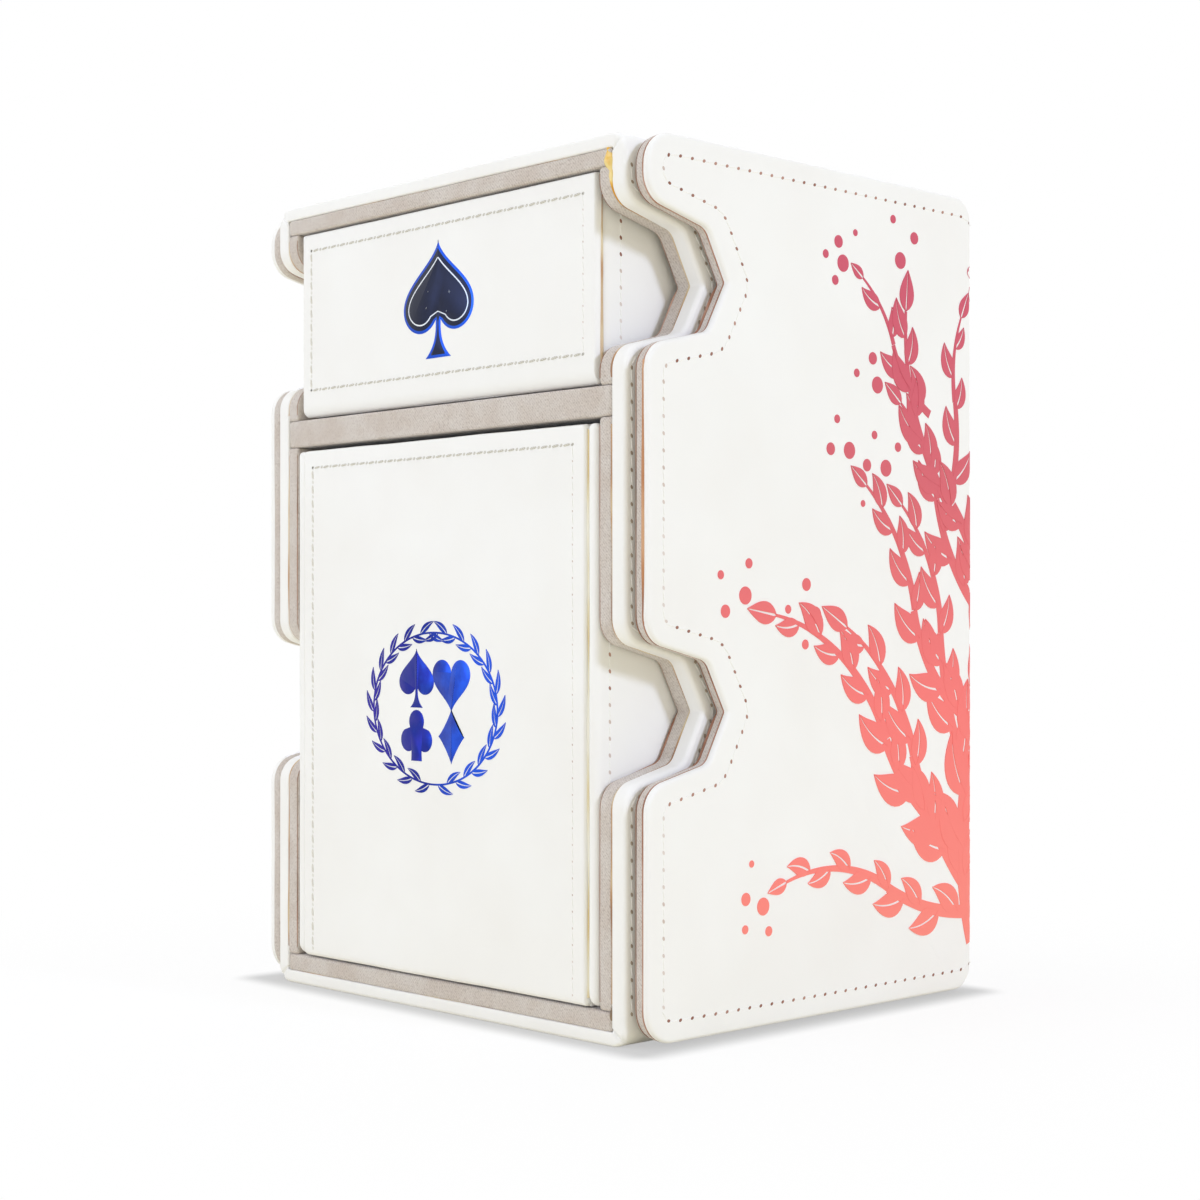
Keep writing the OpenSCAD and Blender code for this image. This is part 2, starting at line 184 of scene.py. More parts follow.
def linear(hex_colour: str) -> tuple[float, float, float, float]:
    """Turns an sRGB hex colour into Blender's linear values.

    Args:
        hex_colour: six hex digits after a hash.

    Returns:
        Red, green and blue as light, and full alpha.
    """
    digits = hex_colour.lstrip("#")
    coded = np.array([int(digits[i : i + 2], 16) for i in (0, 2, 4)]) / 255
    light = np.where(coded <= 0.04045, coded / 12.92, ((coded + 0.055) / 1.055) ** 2.4)
    return float(light[0]), float(light[1]), float(light[2]), 1.0


def per_metre(size_mm: float) -> float:
    """Texture scale of a pattern whose cell is size_mm wide."""
    return 1.0 / (size_mm * MM)


def fill(tree: Tree, node: Node, inputs: dict[Any, Any]) -> None:
    """Gives a node's inputs their values, or links them.

    Args:
        tree: node tree of the node.
        node: the node.
        inputs: values by socket; an output socket of another node is linked.
    """
    for socket, value in inputs.items():
        if isinstance(value, Socket):
            tree.links.new(value, node.inputs[socket])
        else:
            node.inputs[socket].default_value = value


def add_node(tree: Tree, kind: str, inputs: dict[Any, Any] | None = None, **settings: Any) -> Node:
    """Adds a shader node, sets it up and links it.

    Args:
        tree: node tree that takes the node.
        kind: Blender's name of the node type.
        inputs: values by socket.
        settings: the node's own properties.

    Returns:
        The new node.
    """
    node = tree.nodes.new(kind)
    for name, value in settings.items():
        setattr(node, name, value)
    fill(tree, node, inputs or {})
    return node


def object_place(tree: Tree) -> Socket:
    """Object coordinates, for patterns that keep to their piece."""
    return add_node(tree, "ShaderNodeTexCoord").outputs["Object"]


def relief(tree: Tree, height: Socket, strength: float, depth_mm: float, **under: Socket) -> Socket:
    """Turns a pattern into relief of a depth, over coarser relief if its Normal is given."""
    inputs = {"Height": height, "Strength": strength, "Distance": depth_mm * MM, **under}
    return add_node(tree, "ShaderNodeBump", inputs).outputs["Normal"]


def add_math(tree: Tree, operation: str, *values: Any) -> Socket:
    """Adds a math node on numbers or sockets, and gives its result."""
    return add_node(tree, "ShaderNodeMath", dict(enumerate(values)), operation=operation).outputs[0]


def noise(tree: Tree, size_mm: float, detail: float = 2.0) -> Socket:
    """Cloudy pattern of values about 0.3 to 0.7: clouds of size_mm, and finer ones as detail says."""
    inputs = {"Vector": object_place(tree), "Scale": per_metre(size_mm), "Detail": detail}
    return add_node(tree, "ShaderNodeTexNoise", inputs).outputs["Fac"]


def ribs(tree: Tree, rib_mm: float, uneven: dict[str, float] | None = None) -> Socket:
    """Diagonal ribs from 0 to 1.

    Args:
        tree: node tree that takes the nodes.
        rib_mm: distance between ribs on a face of the box.
        uneven: the wave's distortion, if it has any.

    Returns:
        The pattern's value.
    """
    # A diagonal wave's ribs on a face of the box are this much of a texture unit apart
    units = 0.444
    inputs = {"Vector": object_place(tree), "Scale": units * per_metre(rib_mm), **(uneven or {})}
    wave = add_node(tree, "ShaderNodeTexWave", inputs, bands_direction="DIAGONAL", wave_profile="SIN")
    return wave.outputs["Fac"]


def ramp(tree: Tree, value: Any, stops: Stops) -> Socket:
    """Colours a value.

    Args:
        tree: node tree that takes the node.
        value: socket with the value.
        stops: places from 0 to 1 with their sRGB colours.

    Returns:
        The colour.
    """
    node = add_node(tree, "ShaderNodeValToRGB", {"Fac": value})
    elements = node.color_ramp.elements
    while len(elements) < len(stops):
        elements.new(0.5)
    for element, (place, colour) in zip(elements, stops):
        element.position = place
        element.color = linear(colour)
    return node.outputs["Color"]


@dataclass(frozen=True)
class Finish:
    """A named material, and the slot that it belongs to."""

    name: str
    slot: str

    def shade(self, tree: Tree, shader: Node) -> None:
        """Sets up the principled shader; each finish has its own."""
        raise NotImplementedError

    def material(self) -> bpy.types.Material:
        """Gives the material, made on first use."""
        made = bpy.data.materials.get(self.name)
        if made is None:
            made = bpy.data.materials.new(self.name)
            made.use_nodes = True
            self.shade(made.node_tree, made.node_tree.nodes["Principled BSDF"])
        return made


@dataclass(frozen=True)
class CoatedLeather(Finish):
    """PU-coated leather, embossed with a fine nappa grain: satin white, a little warm in the folds."""

    name: str = "coated_white_leather"
    slot: str = "white_leather"
    grain_mm: float = 0.55
    wrinkle_mm: float = 3.0
    tone_mm: float = 22.0

    def shade(self, tree: Tree, shader: Node) -> None:
        """Pebbled grain and slow wrinkles as height, with a faint change of tone."""
        pebbles = add_node(tree, "ShaderNodeTexVoronoi",
                           {"Vector": object_place(tree), "Scale": per_metre(self.grain_mm),
                            "Randomness": 1.0}, feature="SMOOTH_F1")
        shader.inputs["Base Color"].default_value = linear("#f8f8f6")
        tone = ramp(tree, noise(tree, self.tone_mm), [(0.3, "#f9f9f7"), (0.7, "#f6f5f2")])
        gloss = add_node(tree, "ShaderNodeMapRange",
                         {"Value": noise(tree, self.wrinkle_mm, 4.0), "From Min": 0.3, "From Max": 0.7,
                          "To Min": 0.44, "To Max": 0.56})
        wrinkles = relief(tree, noise(tree, self.wrinkle_mm, 3.0), 0.25, 0.05)
        grain = relief(tree, pebbles.outputs["Distance"], 0.35, 0.02, Normal=wrinkles)
        fill(tree, shader, {"Base Color": tone, "Roughness": gloss.outputs["Result"], "IOR": 1.46,
                            "Specular IOR Level": 0.4, "Normal": grain})


@dataclass(frozen=True)
class Suede(Finish):
    """Microfibre suede with a fine diagonal twill: matt warm grey, lighter where the nap lies flat."""

    name: str = "grey_microfibre_suede"
    slot: str = "grey_suede"
    nap_mm: float = 0.35
    # The real rib is about 0.3 mm; it is drawn a little coarser so that it shows
    twill_mm: float = 0.42
    patch_mm: float = 5.0

    def shade(self, tree: Tree, shader: Node) -> None:
        """Twill ribs and fibre noise drive both the height and the tone."""
        twill = ribs(tree, self.twill_mm, {"Distortion": 1.2, "Detail": 1.0, "Detail Scale": 2.0})
        rib_share = 0.16
        mixed = add_math(tree, "MULTIPLY_ADD", twill, rib_share, noise(tree, self.nap_mm, 3.0))
        fine = ramp(tree, mixed, [(0.34, "#b9aea6"), (0.52, "#d0c8c1"), (0.8, "#ded7d0")])
        patches = ramp(tree, noise(tree, self.patch_mm), [(0.35, "#f6f2ef"), (0.65, "#ffffff")])
        tone = add_node(tree, "ShaderNodeMix", {"Factor": 1.0, 6: fine, 7: patches},
                        data_type="RGBA", blend_type="MULTIPLY")
        fill(tree, shader, {"Base Color": tone.outputs[2], "Roughness": 0.95, "Specular IOR Level": 0.15,
                            "Sheen Weight": 0.25, "Sheen Roughness": 0.5,
                            "Normal": relief(tree, mixed, 0.6, 0.06)})


@dataclass(frozen=True)
class SewingThread(Finish):
    """Bonded three-ply polyester thread: off-white with a slight shine and a visible twist."""

    name: str = "bonded_white_thread"
    slot: str = "white_leather"
    # A little darker in the grooves between the plies: painted shade
    groove: str = "#f5f4f0"
    ply: str = "#faf9f6"
    ply_mm: float = 0.4

    def shade(self, tree: Tree, shader: Node) -> None:
        """The plies are diagonal ribs; the thread is painted darker in their grooves: painted shade."""
        tone = ramp(tree, ribs(tree, self.ply_mm), [(0.0, self.groove), (0.5, self.ply)])
        fill(tree, shader, {"Base Color": tone, "Roughness": 0.6})


@dataclass(frozen=True)
class Mottled(Finish):
    """A finish whose colour drifts between a few tones in clouds of one size."""

    stops: Stops = ()
    cloud_mm: float = 10.0
    detail: float = 2.0
    roughness: float = 0.5
    metallic: float = 0.0

    def shade(self, tree: Tree, shader: Node) -> None:
        """Colours the clouds, under one roughness."""
        tone = ramp(tree, noise(tree, self.cloud_mm, self.detail), self.stops)
        fill(tree, shader, {"Base Color": tone, "Roughness": self.roughness, "Metallic": self.metallic})


@dataclass(frozen=True)
class NeedleHole(Mottled):
    """Needle holes that show the dyed backing of the leather: dull red-brown, uneven from hole to hole."""

    name: str = "needle_hole_backing"
    slot: str = "white_leather"
    stops: Stops = ((0.38, "#8f6051"), (0.62, "#b88e7f"))
    cloud_mm: float = 14.0
    detail: float = 1.0
    roughness: float = 0.9


@dataclass(frozen=True)
class Glue(Mottled):
    """Contact cement squeezed out of a joint: amber where thick, straw where thin, and glossy."""

    name: str = "amber_contact_cement"
    slot: str = "grey_suede"
    stops: Stops = ((0.36, "#93694a"), (0.5, "#bb8f62"), (0.64, "#dccaa6"))
    cloud_mm: float = 12.0
    roughness: float = 0.4


@dataclass(frozen=True)
class FreshGlue(Mottled):
    """A thick run of contact cement, with bubbles: clear yellow-orange and wet-looking."""

    name: str = "thick_yellow_cement"
    slot: str = "grey_suede"
    stops: Stops = ((0.35, "#d99a24"), (0.5, "#efbb42"), (0.66, "#f6dd90"))
    cloud_mm: float = 3.0
    roughness: float = 0.25


@dataclass(frozen=True)
class CutEdge(Mottled):
    """Cut edge of the coated leather: its dyed textile backing, browner where cement has soaked in."""

    name: str = "raw_cut_edge"
    slot: str = "white_leather"
    stops: Stops = ((0.34, "#8d6450"), (0.5, "#ab7c66"), (0.66, "#c4a08f"))
    cloud_mm: float = 11.0
    detail: float = 3.0
    roughness: float = 0.85


@dataclass(frozen=True)
class NickelPlate(Mottled):
    """Nickel-plated neodymium disc: bright metal whose plating varies slightly over the disc."""

    name: str = "nickel_plated_magnet"
    slot: str = "magnet_steel"
    stops: Stops = ((0.3, "#b9bbbd"), (0.7, "#cfd0d1"))
    cloud_mm: float = 2.0
    roughness: float = 0.28
    metallic: float = 1.0


@dataclass(frozen=True)
class StampedFoil(Finish):
    """Hot-stamped metallic foil, deep blue that turns violet across the motif."""

    name: str = "stamped_blue_foil"
    slot: str = "white_leather"
    left_colour: str = "#3a2f9e"
    middle_colour: str = "#14278f"
    right_colour: str = "#2357d8"
    span_mm: float = 36.0
    metallic: float = 0.75

    def shade(self, tree: Tree, shader: Node) -> None:
        """The colour follows X, broken up by the leather's grain under the foil."""
        across = add_node(tree, "ShaderNodeSeparateXYZ", {"Vector": object_place(tree)}).outputs["X"]
        along = add_node(tree, "ShaderNodeMapRange",
                         {"Value": across, "From Min": -self.span_mm / 2 * MM,
                          "From Max": self.span_mm / 2 * MM})
        broken = add_math(tree, "MULTIPLY_ADD", noise(tree, 2.5, 3.0), 0.5, along.outputs["Result"])
        tone = ramp(tree, broken,
                    [(0.25, self.left_colour), (0.65, self.middle_colour), (1.0, self.right_colour)])
        fill(tree, shader, {"Base Color": tone, "Metallic": self.metallic, "Roughness": 0.32,
                            "Normal": relief(tree, noise(tree, 0.5), 0.4, 0.03)})


@dataclass(frozen=True)
class PrintInk(Finish):
    """Screen-printed ink on the leather: coral at the foot of the box to deep rose at its top."""

    name: str = "coral_print_ink"
    slot: str = "white_leather"
    foot_mm: float = 14.0
    head_mm: float = 128.0

    def shade(self, tree: Tree, shader: Node) -> None:
        """The colour follows the height."""
        height = add_node(tree, "ShaderNodeSeparateXYZ", {"Vector": object_place(tree)}).outputs["Z"]
        along = add_node(tree, "ShaderNodeMapRange",
                         {"Value": height, "From Min": self.foot_mm * MM, "From Max": self.head_mm * MM})
        tone = ramp(tree, along.outputs["Result"],
                    [(0.0, "#ff887c"), (0.35, "#fb7a76"), (0.7, "#d9606c"), (1.0, "#cf5068")])
        fill(tree, shader, {"Base Color": tone, "Roughness": 0.5,
                            "Normal": relief(tree, noise(tree, 0.55), 0.2, 0.02)})


LEATHER, SUEDE, THREAD, HOLE = CoatedLeather(), Suede(), SewingThread(), NeedleHole()
# Threads greyed for the facings' sunk and left rows: the grey stands for the shadow the thread casts in its
# groove, painted shade; their needle holes take it too
SHADED_SUNK_THREAD = SewingThread("sunk_thread_painted_shade", "white_leather", "#c3c0b6", "#d6d3ca")
SHADED_FAINT_THREAD = SewingThread("faint_thread_painted_shade", "white_leather", "#dedbd3", "#e9e7e0")
SHADED_HOLE = NeedleHole("shaded_needle_hole", stops=((0.38, "#a39382"), (0.62, "#bcae9d")))
# Pale needle holes. On the drawers' side walls they are the lit copy below the notch's shadow, and the usual
# darker holes above are the shaded copy: painted light and shade
PALE_HOLE = NeedleHole("pale_needle_hole", stops=((0.38, "#d0bfb6"), (0.62, "#e2d7d1")))
GLUE, FRESH_GLUE, CUT_EDGE, NICKEL = Glue(), FreshGlue(), CutEdge(), NickelPlate()
PALE_GLUE = Glue("straw_contact_cement", "white_leather",
                 ((0.36, "#d8bf86"), (0.5, "#e6dab4"), (0.64, "#efebda")))
BURNT_GLUE = Glue("orange_contact_cement", stops=((0.36, "#96592f"), (0.5, "#b97a45"), (0.64, "#cf9d70")))
DARK_GLUE = Glue("brown_contact_cement", stops=((0.36, "#5a4636"), (0.5, "#76604a"), (0.64, "#98805f")))
FOIL, INK = StampedFoil(), PrintInk()
# Foils of one colour, spread wide so that it hardly turns across a motif
NAVY_FOIL = StampedFoil("stamped_navy_foil", "white_leather", "#141a2e", "#161d36", "#1a2342", 60.0, 0.6)
RIM_FOIL = replace(NAVY_FOIL, name="stamped_bright_blue_foil", left_colour="#0a55d6",
                   middle_colour="#0b49c4", right_colour="#1a63ea")
LINE_FOIL = replace(NAVY_FOIL, name="stamped_silver_foil", left_colour="#dfe9f6", middle_colour="#eef3fa",
                    right_colour="#cfe0f5", metallic=0.3)


# ---- Surfaces ----------------------------------------------------------------------------


@dataclass
class Surface:
    """Points and faces of a mesh; grids are joined with +."""

    points: Array
    faces: list[list[int]]

    def __add__(self, other: "Surface") -> "Surface":
        """Both surfaces as one, with the other's points numbered on."""
        shift = len(self.points)
        moved = [[i + shift for i in face] for face in other.faces]
        return Surface(np.concatenate([self.points, other.points]), self.faces + moved)


def joined(parts: Iterable[Surface]) -> Surface:
    """All the surfaces as one."""
    return sum(parts, Surface(np.zeros((0, 3)), []))


def grid_quads(rows: int, columns: int, loop_rows: bool = False, loop_columns: bool = False) -> Array:
    """Numbers the quads of a grid of points stored row by row.

    Args:
        rows: number of rows.
        columns: points in a row.
        loop_rows: joins the last row to the first.
        loop_columns: joins the last column to the first.

    Returns:
        One row of four point numbers a quad.
    """
    index = np.arange(rows * columns).reshape(rows, columns)
    if loop_rows:
        index = np.concatenate([index, index[:1]])
    if loop_columns:
        index = np.concatenate([index, index[:, :1]], axis=1)
    corners = [index[:-1, :-1], index[:-1, 1:], index[1:, 1:], index[1:, :-1]]
    return np.stack(corners, axis=-1).reshape(-1, 4)


def lofted(rings: Array, flip: bool = False, caps: bool = True, loop_rows: bool = False) -> Surface:
    """Skins closed rings of points, with flat ends.

    Args:
        rings: points as (ring, point, 3); the rings run anticlockwise seen from the last one.
        flip: turns the faces round, for a mirrored piece.
        caps: closes the first and the last ring with flat faces.
        loop_rows: joins the last ring to the first in place of caps.

    Returns:
        The skin.
    """
    count, size = rings.shape[:2]
    faces = grid_quads(count, size, loop_rows=loop_rows, loop_columns=True).tolist()
    if caps and not loop_rows:
        faces += [list(range(size))[::-1], list(range((count - 1) * size, count * size))]
    if flip:
        faces = [face[::-1] for face in faces]
    return Surface(rings.reshape(-1, 3), faces)


def repeated(shapes: Array, quads: Array, ends: Sequence[Sequence[int]]) -> Surface:
    """Joins many copies of one small shape.

    Args:
        shapes: points as (copy, point, 3).
        quads: the four-sided faces of one copy.
        ends: the other faces of one copy.

    Returns:
        All the copies as one surface.
    """
    copies, size = shapes.shape[:2]
    starts = (np.arange(copies) * size)[:, None, None]
    faces = (quads[None] + starts).reshape(-1, 4).tolist()
    for end in ends:
        faces += (np.array(end)[None] + starts[:, :, 0]).tolist()
    return Surface(shapes.reshape(-1, 3), faces)


def in_scene(name: str, data: Any) -> bpy.types.Object:
    """Makes an object and puts it in the scene."""
    made = bpy.data.objects.new(name, data)
    bpy.context.scene.collection.objects.link(made)
    return made


def smooth_object(name: str, surface: Surface, material: bpy.types.Material) -> bpy.types.Object:
    """Makes the Blender object of a surface.

    Args:
        name: the object's name.
        surface: its mesh, in millimetres.
        material: its material.

    Returns:
        The object, at the origin.
    """
    crisp_past = math.radians(40.0)
    mesh = bpy.data.meshes.new(name)
    mesh.from_pydata((surface.points * MM).tolist(), [], surface.faces)
    mesh.shade_smooth()
    mesh.set_sharp_from_angle(angle=crisp_past)
    mesh.materials.append(material)
    mesh.validate()
    return in_scene(name, mesh)


# ---- Outlines and boards -----------------------------------------------------------------


@dataclass(frozen=True)
class Corner:
    """A corner of an outline: place, radius, and how softly the edge after it is wrapped."""

    u: float
    v: float
    radius: float = 0.05
    soft: float = 1.0


class Outline:
    """Straight edges and round corners, anticlockwise, as rings of points moved inwards at will."""

    ARC_STEPS = 9
    SMALLEST_RADIUS = 0.02
    SPACING = 0.8

    def __init__(self, corners: Sequence[Corner], closed: bool = True, spacing: float = SPACING) -> None:
        """Keeps the corners and settles how many points each edge gets.

        Args:
            corners: the corners in order; an open outline starts and ends at a corner.
            closed: joins the last corner to the first.
            spacing: distance between points along an edge.
        """
        self.places = np.array([[c.u, c.v] for c in corners])
        self.radii = np.array([c.radius for c in corners])
        self.soft = np.array([c.soft for c in corners])
        self.closed = closed
        lengths = np.linalg.norm(np.roll(self.places, -1, 0) - self.places, axis=1)
        self.steps = np.maximum(2, np.round(lengths / spacing)).astype(int)

    def ring(self, inset: float) -> Array:
        """The outline with every edge moved inwards by inset times its softness.

        Each corner becomes an arc between its two moved edges: convex corners tighten and
        concave ones open by the inset. Every ring has the same number of points.

        Args:
            inset: distance of the move.

        Returns:
            Points as (n, 2).
        """
        places = self.places
        along = unit(np.roll(places, -1, 0) - places)
        inward = np.stack([-along[:, 1], along[:, 0]], axis=1)
        move = inset * self.soft
        before, move_before = np.roll(inward, 1, 0), np.roll(move, 1)
        if not self.closed:
            inward[-1], move[-1] = inward[-2], move[-2]
            before[0], move_before[0] = inward[0], move[0]
        cosine = (before * inward).sum(1, keepdims=True)
        level = 1 - cosine**2
        straight = level < 1e-6
        shift = before * (move_before[:, None] - move[:, None] * cosine)
        shift = shift + inward * (move[:, None] - move_before[:, None] * cosine)
        bent = shift / np.where(straight, 1, level)
        moved = places + np.where(straight, before * move_before[:, None], bent)
        turn = np.sign(before[:, 0] * inward[:, 1] - before[:, 1] * inward[:, 0])
        radii = np.maximum(self.radii - turn * (move + move_before) / 2, self.SMALLEST_RADIUS)
        return self._rounded(moved, radii)

    def _rounded(self, places: Array, radii: Array) -> Array:
        """Turns moved corners into arcs and divides the edges between them.

        Args:
            places: the corners.
            radii: the radius of each.

        Returns:
            Points as (n, 2).
        """
        back = unit(np.roll(places, 1, 0) - places)
        onward = unit(np.roll(places, -1, 0) - places)
        half = np.maximum(np.arccos(np.clip((back * onward).sum(1), -1, 1)) / 2, 0.01)
        centre = places + unit(back + onward) * (radii / np.sin(half))[:, None]
        first = places + back * (radii / np.tan(half))[:, None] - centre
        last = places + onward * (radii / np.tan(half))[:, None] - centre
        start = np.arctan2(first[:, 1], first[:, 0])
        sweep = (np.arctan2(last[:, 1], last[:, 0]) - start + 3 * math.pi) % (2 * math.pi) - math.pi
        angle = start[:, None] + sweep[:, None] * np.linspace(0, 1, self.ARC_STEPS + 1)
        arcs = centre[:, None] + radii[:, None, None] * on_circle(angle)
        runs = list(arcs)
        if not self.closed:
            runs[0], runs[-1] = places[:1], places[-1:]
        count = len(runs)
        pieces: list[Array] = []
        for i, run in enumerate(runs):
            pieces.append(run)
            if self.closed or i + 1 < count:
                t = np.linspace(0, 1, self.steps[i] + 1)[1:-1, None]
                pieces.append(run[-1] * (1 - t) + runs[(i + 1) % count][0] * t)
        return np.concatenate(pieces)


@dataclass(frozen=True)
class Plane:
    """Where a flat piece lies: an origin, the outline's two axes and the way out of its face."""

    origin: tuple[float, float, float]
    u: tuple[float, float, float]
    v: tuple[float, float, float]
    out: tuple[float, float, float]

    def place(self, flat: Array, height: Array | float) -> Array:
        """Puts outline points in space.

        Args:
            flat: points as (..., 2).
            height: distance out of the plane, one number or one a point.

        Returns:
            Points as (..., 3).
        """
        lifted = np.broadcast_to(np.asarray(height, float), flat.shape[:-1])[..., None]
        axes = np.array([self.u, self.v])
        return np.array(self.origin) + flat @ axes + lifted * np.array(self.out)

    @property
    def mirrored(self) -> bool:
        """True if the axes are left-handed, so that faces have to be turned round."""
        return float(np.dot(np.cross(self.u, self.v), self.out)) < 0

    @staticmethod
    def side(side: Side, x: float) -> "Plane":
        """Plane at a distance x from the middle of the box, seen from that side; u is Y and v is Z."""
        return Plane((side.value * x, 0, 0), (0, 1, 0), (0, 0, 1), (side.value, 0, 0))

    @staticmethod
    def front(y: float) -> "Plane":
        """Plane of a drawer front at depth y, seen from the front; u is X and v is Z."""
        return Plane((0, y, 0), (1, 0, 0), (0, 0, 1), (0, -1, 0))

    @staticmethod
    def level(z: float) -> "Plane":
        """Level plane at height z, seen from above; u is X and v is Y."""
        return Plane((0, 0, z), (1, 0, 0), (0, 1, 0), (0, 0, 1))


@dataclass(frozen=True)
class BoardProfile:
    """Section through the edge of a wrapped board, from its hidden face to its show face."""

    thickness: float
    hidden_r: float = 0.8
    show_r: float = 0.8
    crown: float = 0.0
    setback: float = 0.0
    steps: int = 7

    def stations(self) -> Array:
        """Places along the section: two quarter rounds, then the show face.

        The show face rises by crown over the first 2 mm.

        Returns:
            Rows of (inset, height).
        """
        turn = np.linspace(0, math.pi / 2, self.steps)
        low = np.stack([self.hidden_r * (1 - np.sin(turn)), self.hidden_r * (1 - np.cos(turn))], 1)
        high = np.stack([self.show_r * (1 - np.cos(turn)),
                         self.thickness - self.show_r * (1 - np.sin(turn))], 1)
        face = self.show_r + np.array([0.4, 0.9])
        flat = np.stack([face, np.full_like(face, self.thickness)], 1)
        rows = np.concatenate([low, high, flat])
        rows[self.steps :, 1] -= self.crown * (1 - smooth(rows[self.steps :, 0] / 2.0))
        rows[:, 0] += self.setback
        return rows


def wrapped_board(outline: Outline, plane: Plane, profile: BoardProfile, ripple: float = 0.05,
                  seed: float = 0.0) -> Surface:
    """A board wrapped in leather or suede: its section carried along its outline.

    Args:
        outline: the board's outline.
        plane: where its hidden face lies.
        profile: the section.
        ripple: unevenness of the wrapped edge.
        seed: makes each board's unevenness its own.

    Returns:
        The closed skin.
    """
    stations = profile.stations()
    flat = np.stack([outline.ring(inset) for inset in stations[:, 0]])
    along = run_along(flat[0])
    uneven_reach = 2.5
    near_edge = 1 - smooth(stations[:, 0] / uneven_reach)
    inward = unit(flat.mean(axis=(0, 1)) - flat)
    uneven = waviness(along, ripple, seed) + ripple
    flat = flat + inward * (near_edge[:, None] * uneven)[..., None]
    return lofted(plane.place(flat, stations[:, 1][:, None]), flip=plane.mirrored)


@dataclass(frozen=True)
class GemNotch:
    """Finger notch in the shape of half a cut gem: a wide mouth, a waist and a point."""

    z: float
    depth: float
    mouth: float = 11.8
    waist: float = 8.4
    point: float = 4.6
    finger_r: float = 4.6
    waist_r: float = 3.0
    point_r: float = 0.6

    def corners(self, front: float, rising: bool) -> list[Corner]:
        """Corners of the notch in a side outline.

        Args:
            front: Y of the board's front edge.
            rising: lists them from the lower finger to the upper one.

        Returns:
            Five corners.
        """
        shape = [(0, -self.mouth, self.finger_r), (self.depth - self.point, -self.waist, self.waist_r),
                 (self.depth, 0, self.point_r), (self.depth - self.point, self.waist, self.waist_r),
                 (0, self.mouth, self.finger_r)]
        listed = [Corner(front + y, self.z + dz, radius) for y, dz, radius in shape]
        return listed if rising else listed[::-1]


# ---- Seams -------------------------------------------------------------------------------


@dataclass(frozen=True)
class Seam:
    """A row of lock stitches: short thread bridges between needle holes."""

    pitch: float = 2.75
    thread_r: float = 0.14
    thread_share: float = 0.72
    arch: float = 0.3
    slant_deg: float = 7.0
    hole_length: float = 0.76
    hole_width: float = 0.54
    # Holes lean a little across the row, as a needle's blade leaves them
    hole_slant_deg: float = 25.0
    sides: int = 6
    rings: int = 7

    def placed(self, path: Array, normals: Array) -> tuple[Array, Array, Array, Array]:
        """Spaces the stitches evenly along a path.

        Args:
            path: points along the row, as (n, 3).
            normals: way out of the leather at each.

        Returns:
            Centres, directions, normals of the stitches, and the places between them.
        """
        run = run_along(path)
        count = max(2, int(round(run[-1] / self.pitch)))
        centres = (np.arange(count) + 0.5) / count * run[-1]
        ends = np.arange(count + 1) / count * run[-1]
        reach = 0.2 * self.pitch
        ahead = sampled(path, run, np.minimum(centres + reach, run[-1]))
        ahead = ahead - sampled(path, run, np.maximum(centres - reach, 0))
        return sampled(path, run, centres), unit(ahead), unit(sampled(normals, run, centres)), ends

    def threads(self, path: Array, normals: Array) -> Surface:
        """Thread bridges: a round section carried over a low arch that dives at both ends.

        From t = -1 to 1 along a bridge, its height follows 1 - |t|^3 and its section narrows with the
        root of 1 - 3/4 t^4.

        Args:
            path: points along the row.
            normals: way out of the leather at each.

        Returns:
            All the bridges of the row.
        """
        centres, along, out, _ = self.placed(path, normals)
        along, across = slanted(along, np.cross(out, along), math.radians(self.slant_deg))
        t = np.linspace(-1, 1, self.rings)
        sunk = 0.45
        arch = self.thread_r * (self.arch * (1 - np.abs(t) ** 3) - sunk)
        radius = self.thread_r * np.sqrt(np.maximum(1 - 0.75 * t**4, 0.08))
        angle = turns(self.sides)
        lengthwise = (t * self.pitch * self.thread_share / 2)[:, None]
        sideways = radius[:, None] * np.cos(angle)
        upwards = arch[:, None] + radius[:, None] * np.sin(angle)
        shapes = centres[:, None, None] + along[:, None, None] * lengthwise[None, ..., None]
        shapes = shapes + across[:, None, None] * sideways[None, ..., None]
        shapes = shapes + out[:, None, None] * upwards[None, ..., None]
        quads = grid_quads(self.rings, self.sides, loop_columns=True)
        first = list(range(self.sides))
        last = [i + (self.rings - 1) * self.sides for i in first]
        return repeated(shapes.reshape(len(centres), -1, 3), quads, [first[::-1], last])

    def holes(self, path: Array, normals: Array, keep: Callable[[Array], Array] | None = None,
              lift: float = 0.04) -> Surface:
        """Needle holes as small flat lenses: an oval rim between two smaller ovals.

        Args:
            path: points along the row.
            normals: way out of the leather at each.
            keep: picks holes by their places; without it all are made.
            lift: how far a lens stands out of the leather.

        Returns:
            The holes of the row.
        """
        run = run_along(path)
        _, _, _, ends = self.placed(path, normals)
        sample = sampled(path, run, ends)
        out = unit(sampled(normals, run, ends))
        along = unit(np.gradient(sample, axis=0))
        along, across = slanted(along, np.cross(out, along), math.radians(self.hole_slant_deg))
        if keep is not None:
            kept = keep(sample)
            sample, out, along, across = sample[kept], out[kept], along[kept], across[kept]
        corners, bevel = 8, 0.72
        angle = turns(corners)
        rim = along[:, None] * (self.hole_length / 2 * np.cos(angle))[None, :, None]
        rim = rim + across[:, None] * (self.hole_width / 2 * np.sin(angle))[None, :, None]
        top, foot = sample + out * lift, sample - out * lift
        shapes = np.concatenate([rim * bevel + top[:, None], rim + sample[:, None],
                                 rim * bevel + foot[:, None]], axis=1)
        quads = grid_quads(3, corners, loop_columns=True)[:, ::-1]
        return repeated(shapes, quads, [list(range(corners)), list(range(2 * corners, 3 * corners))[::-1]])


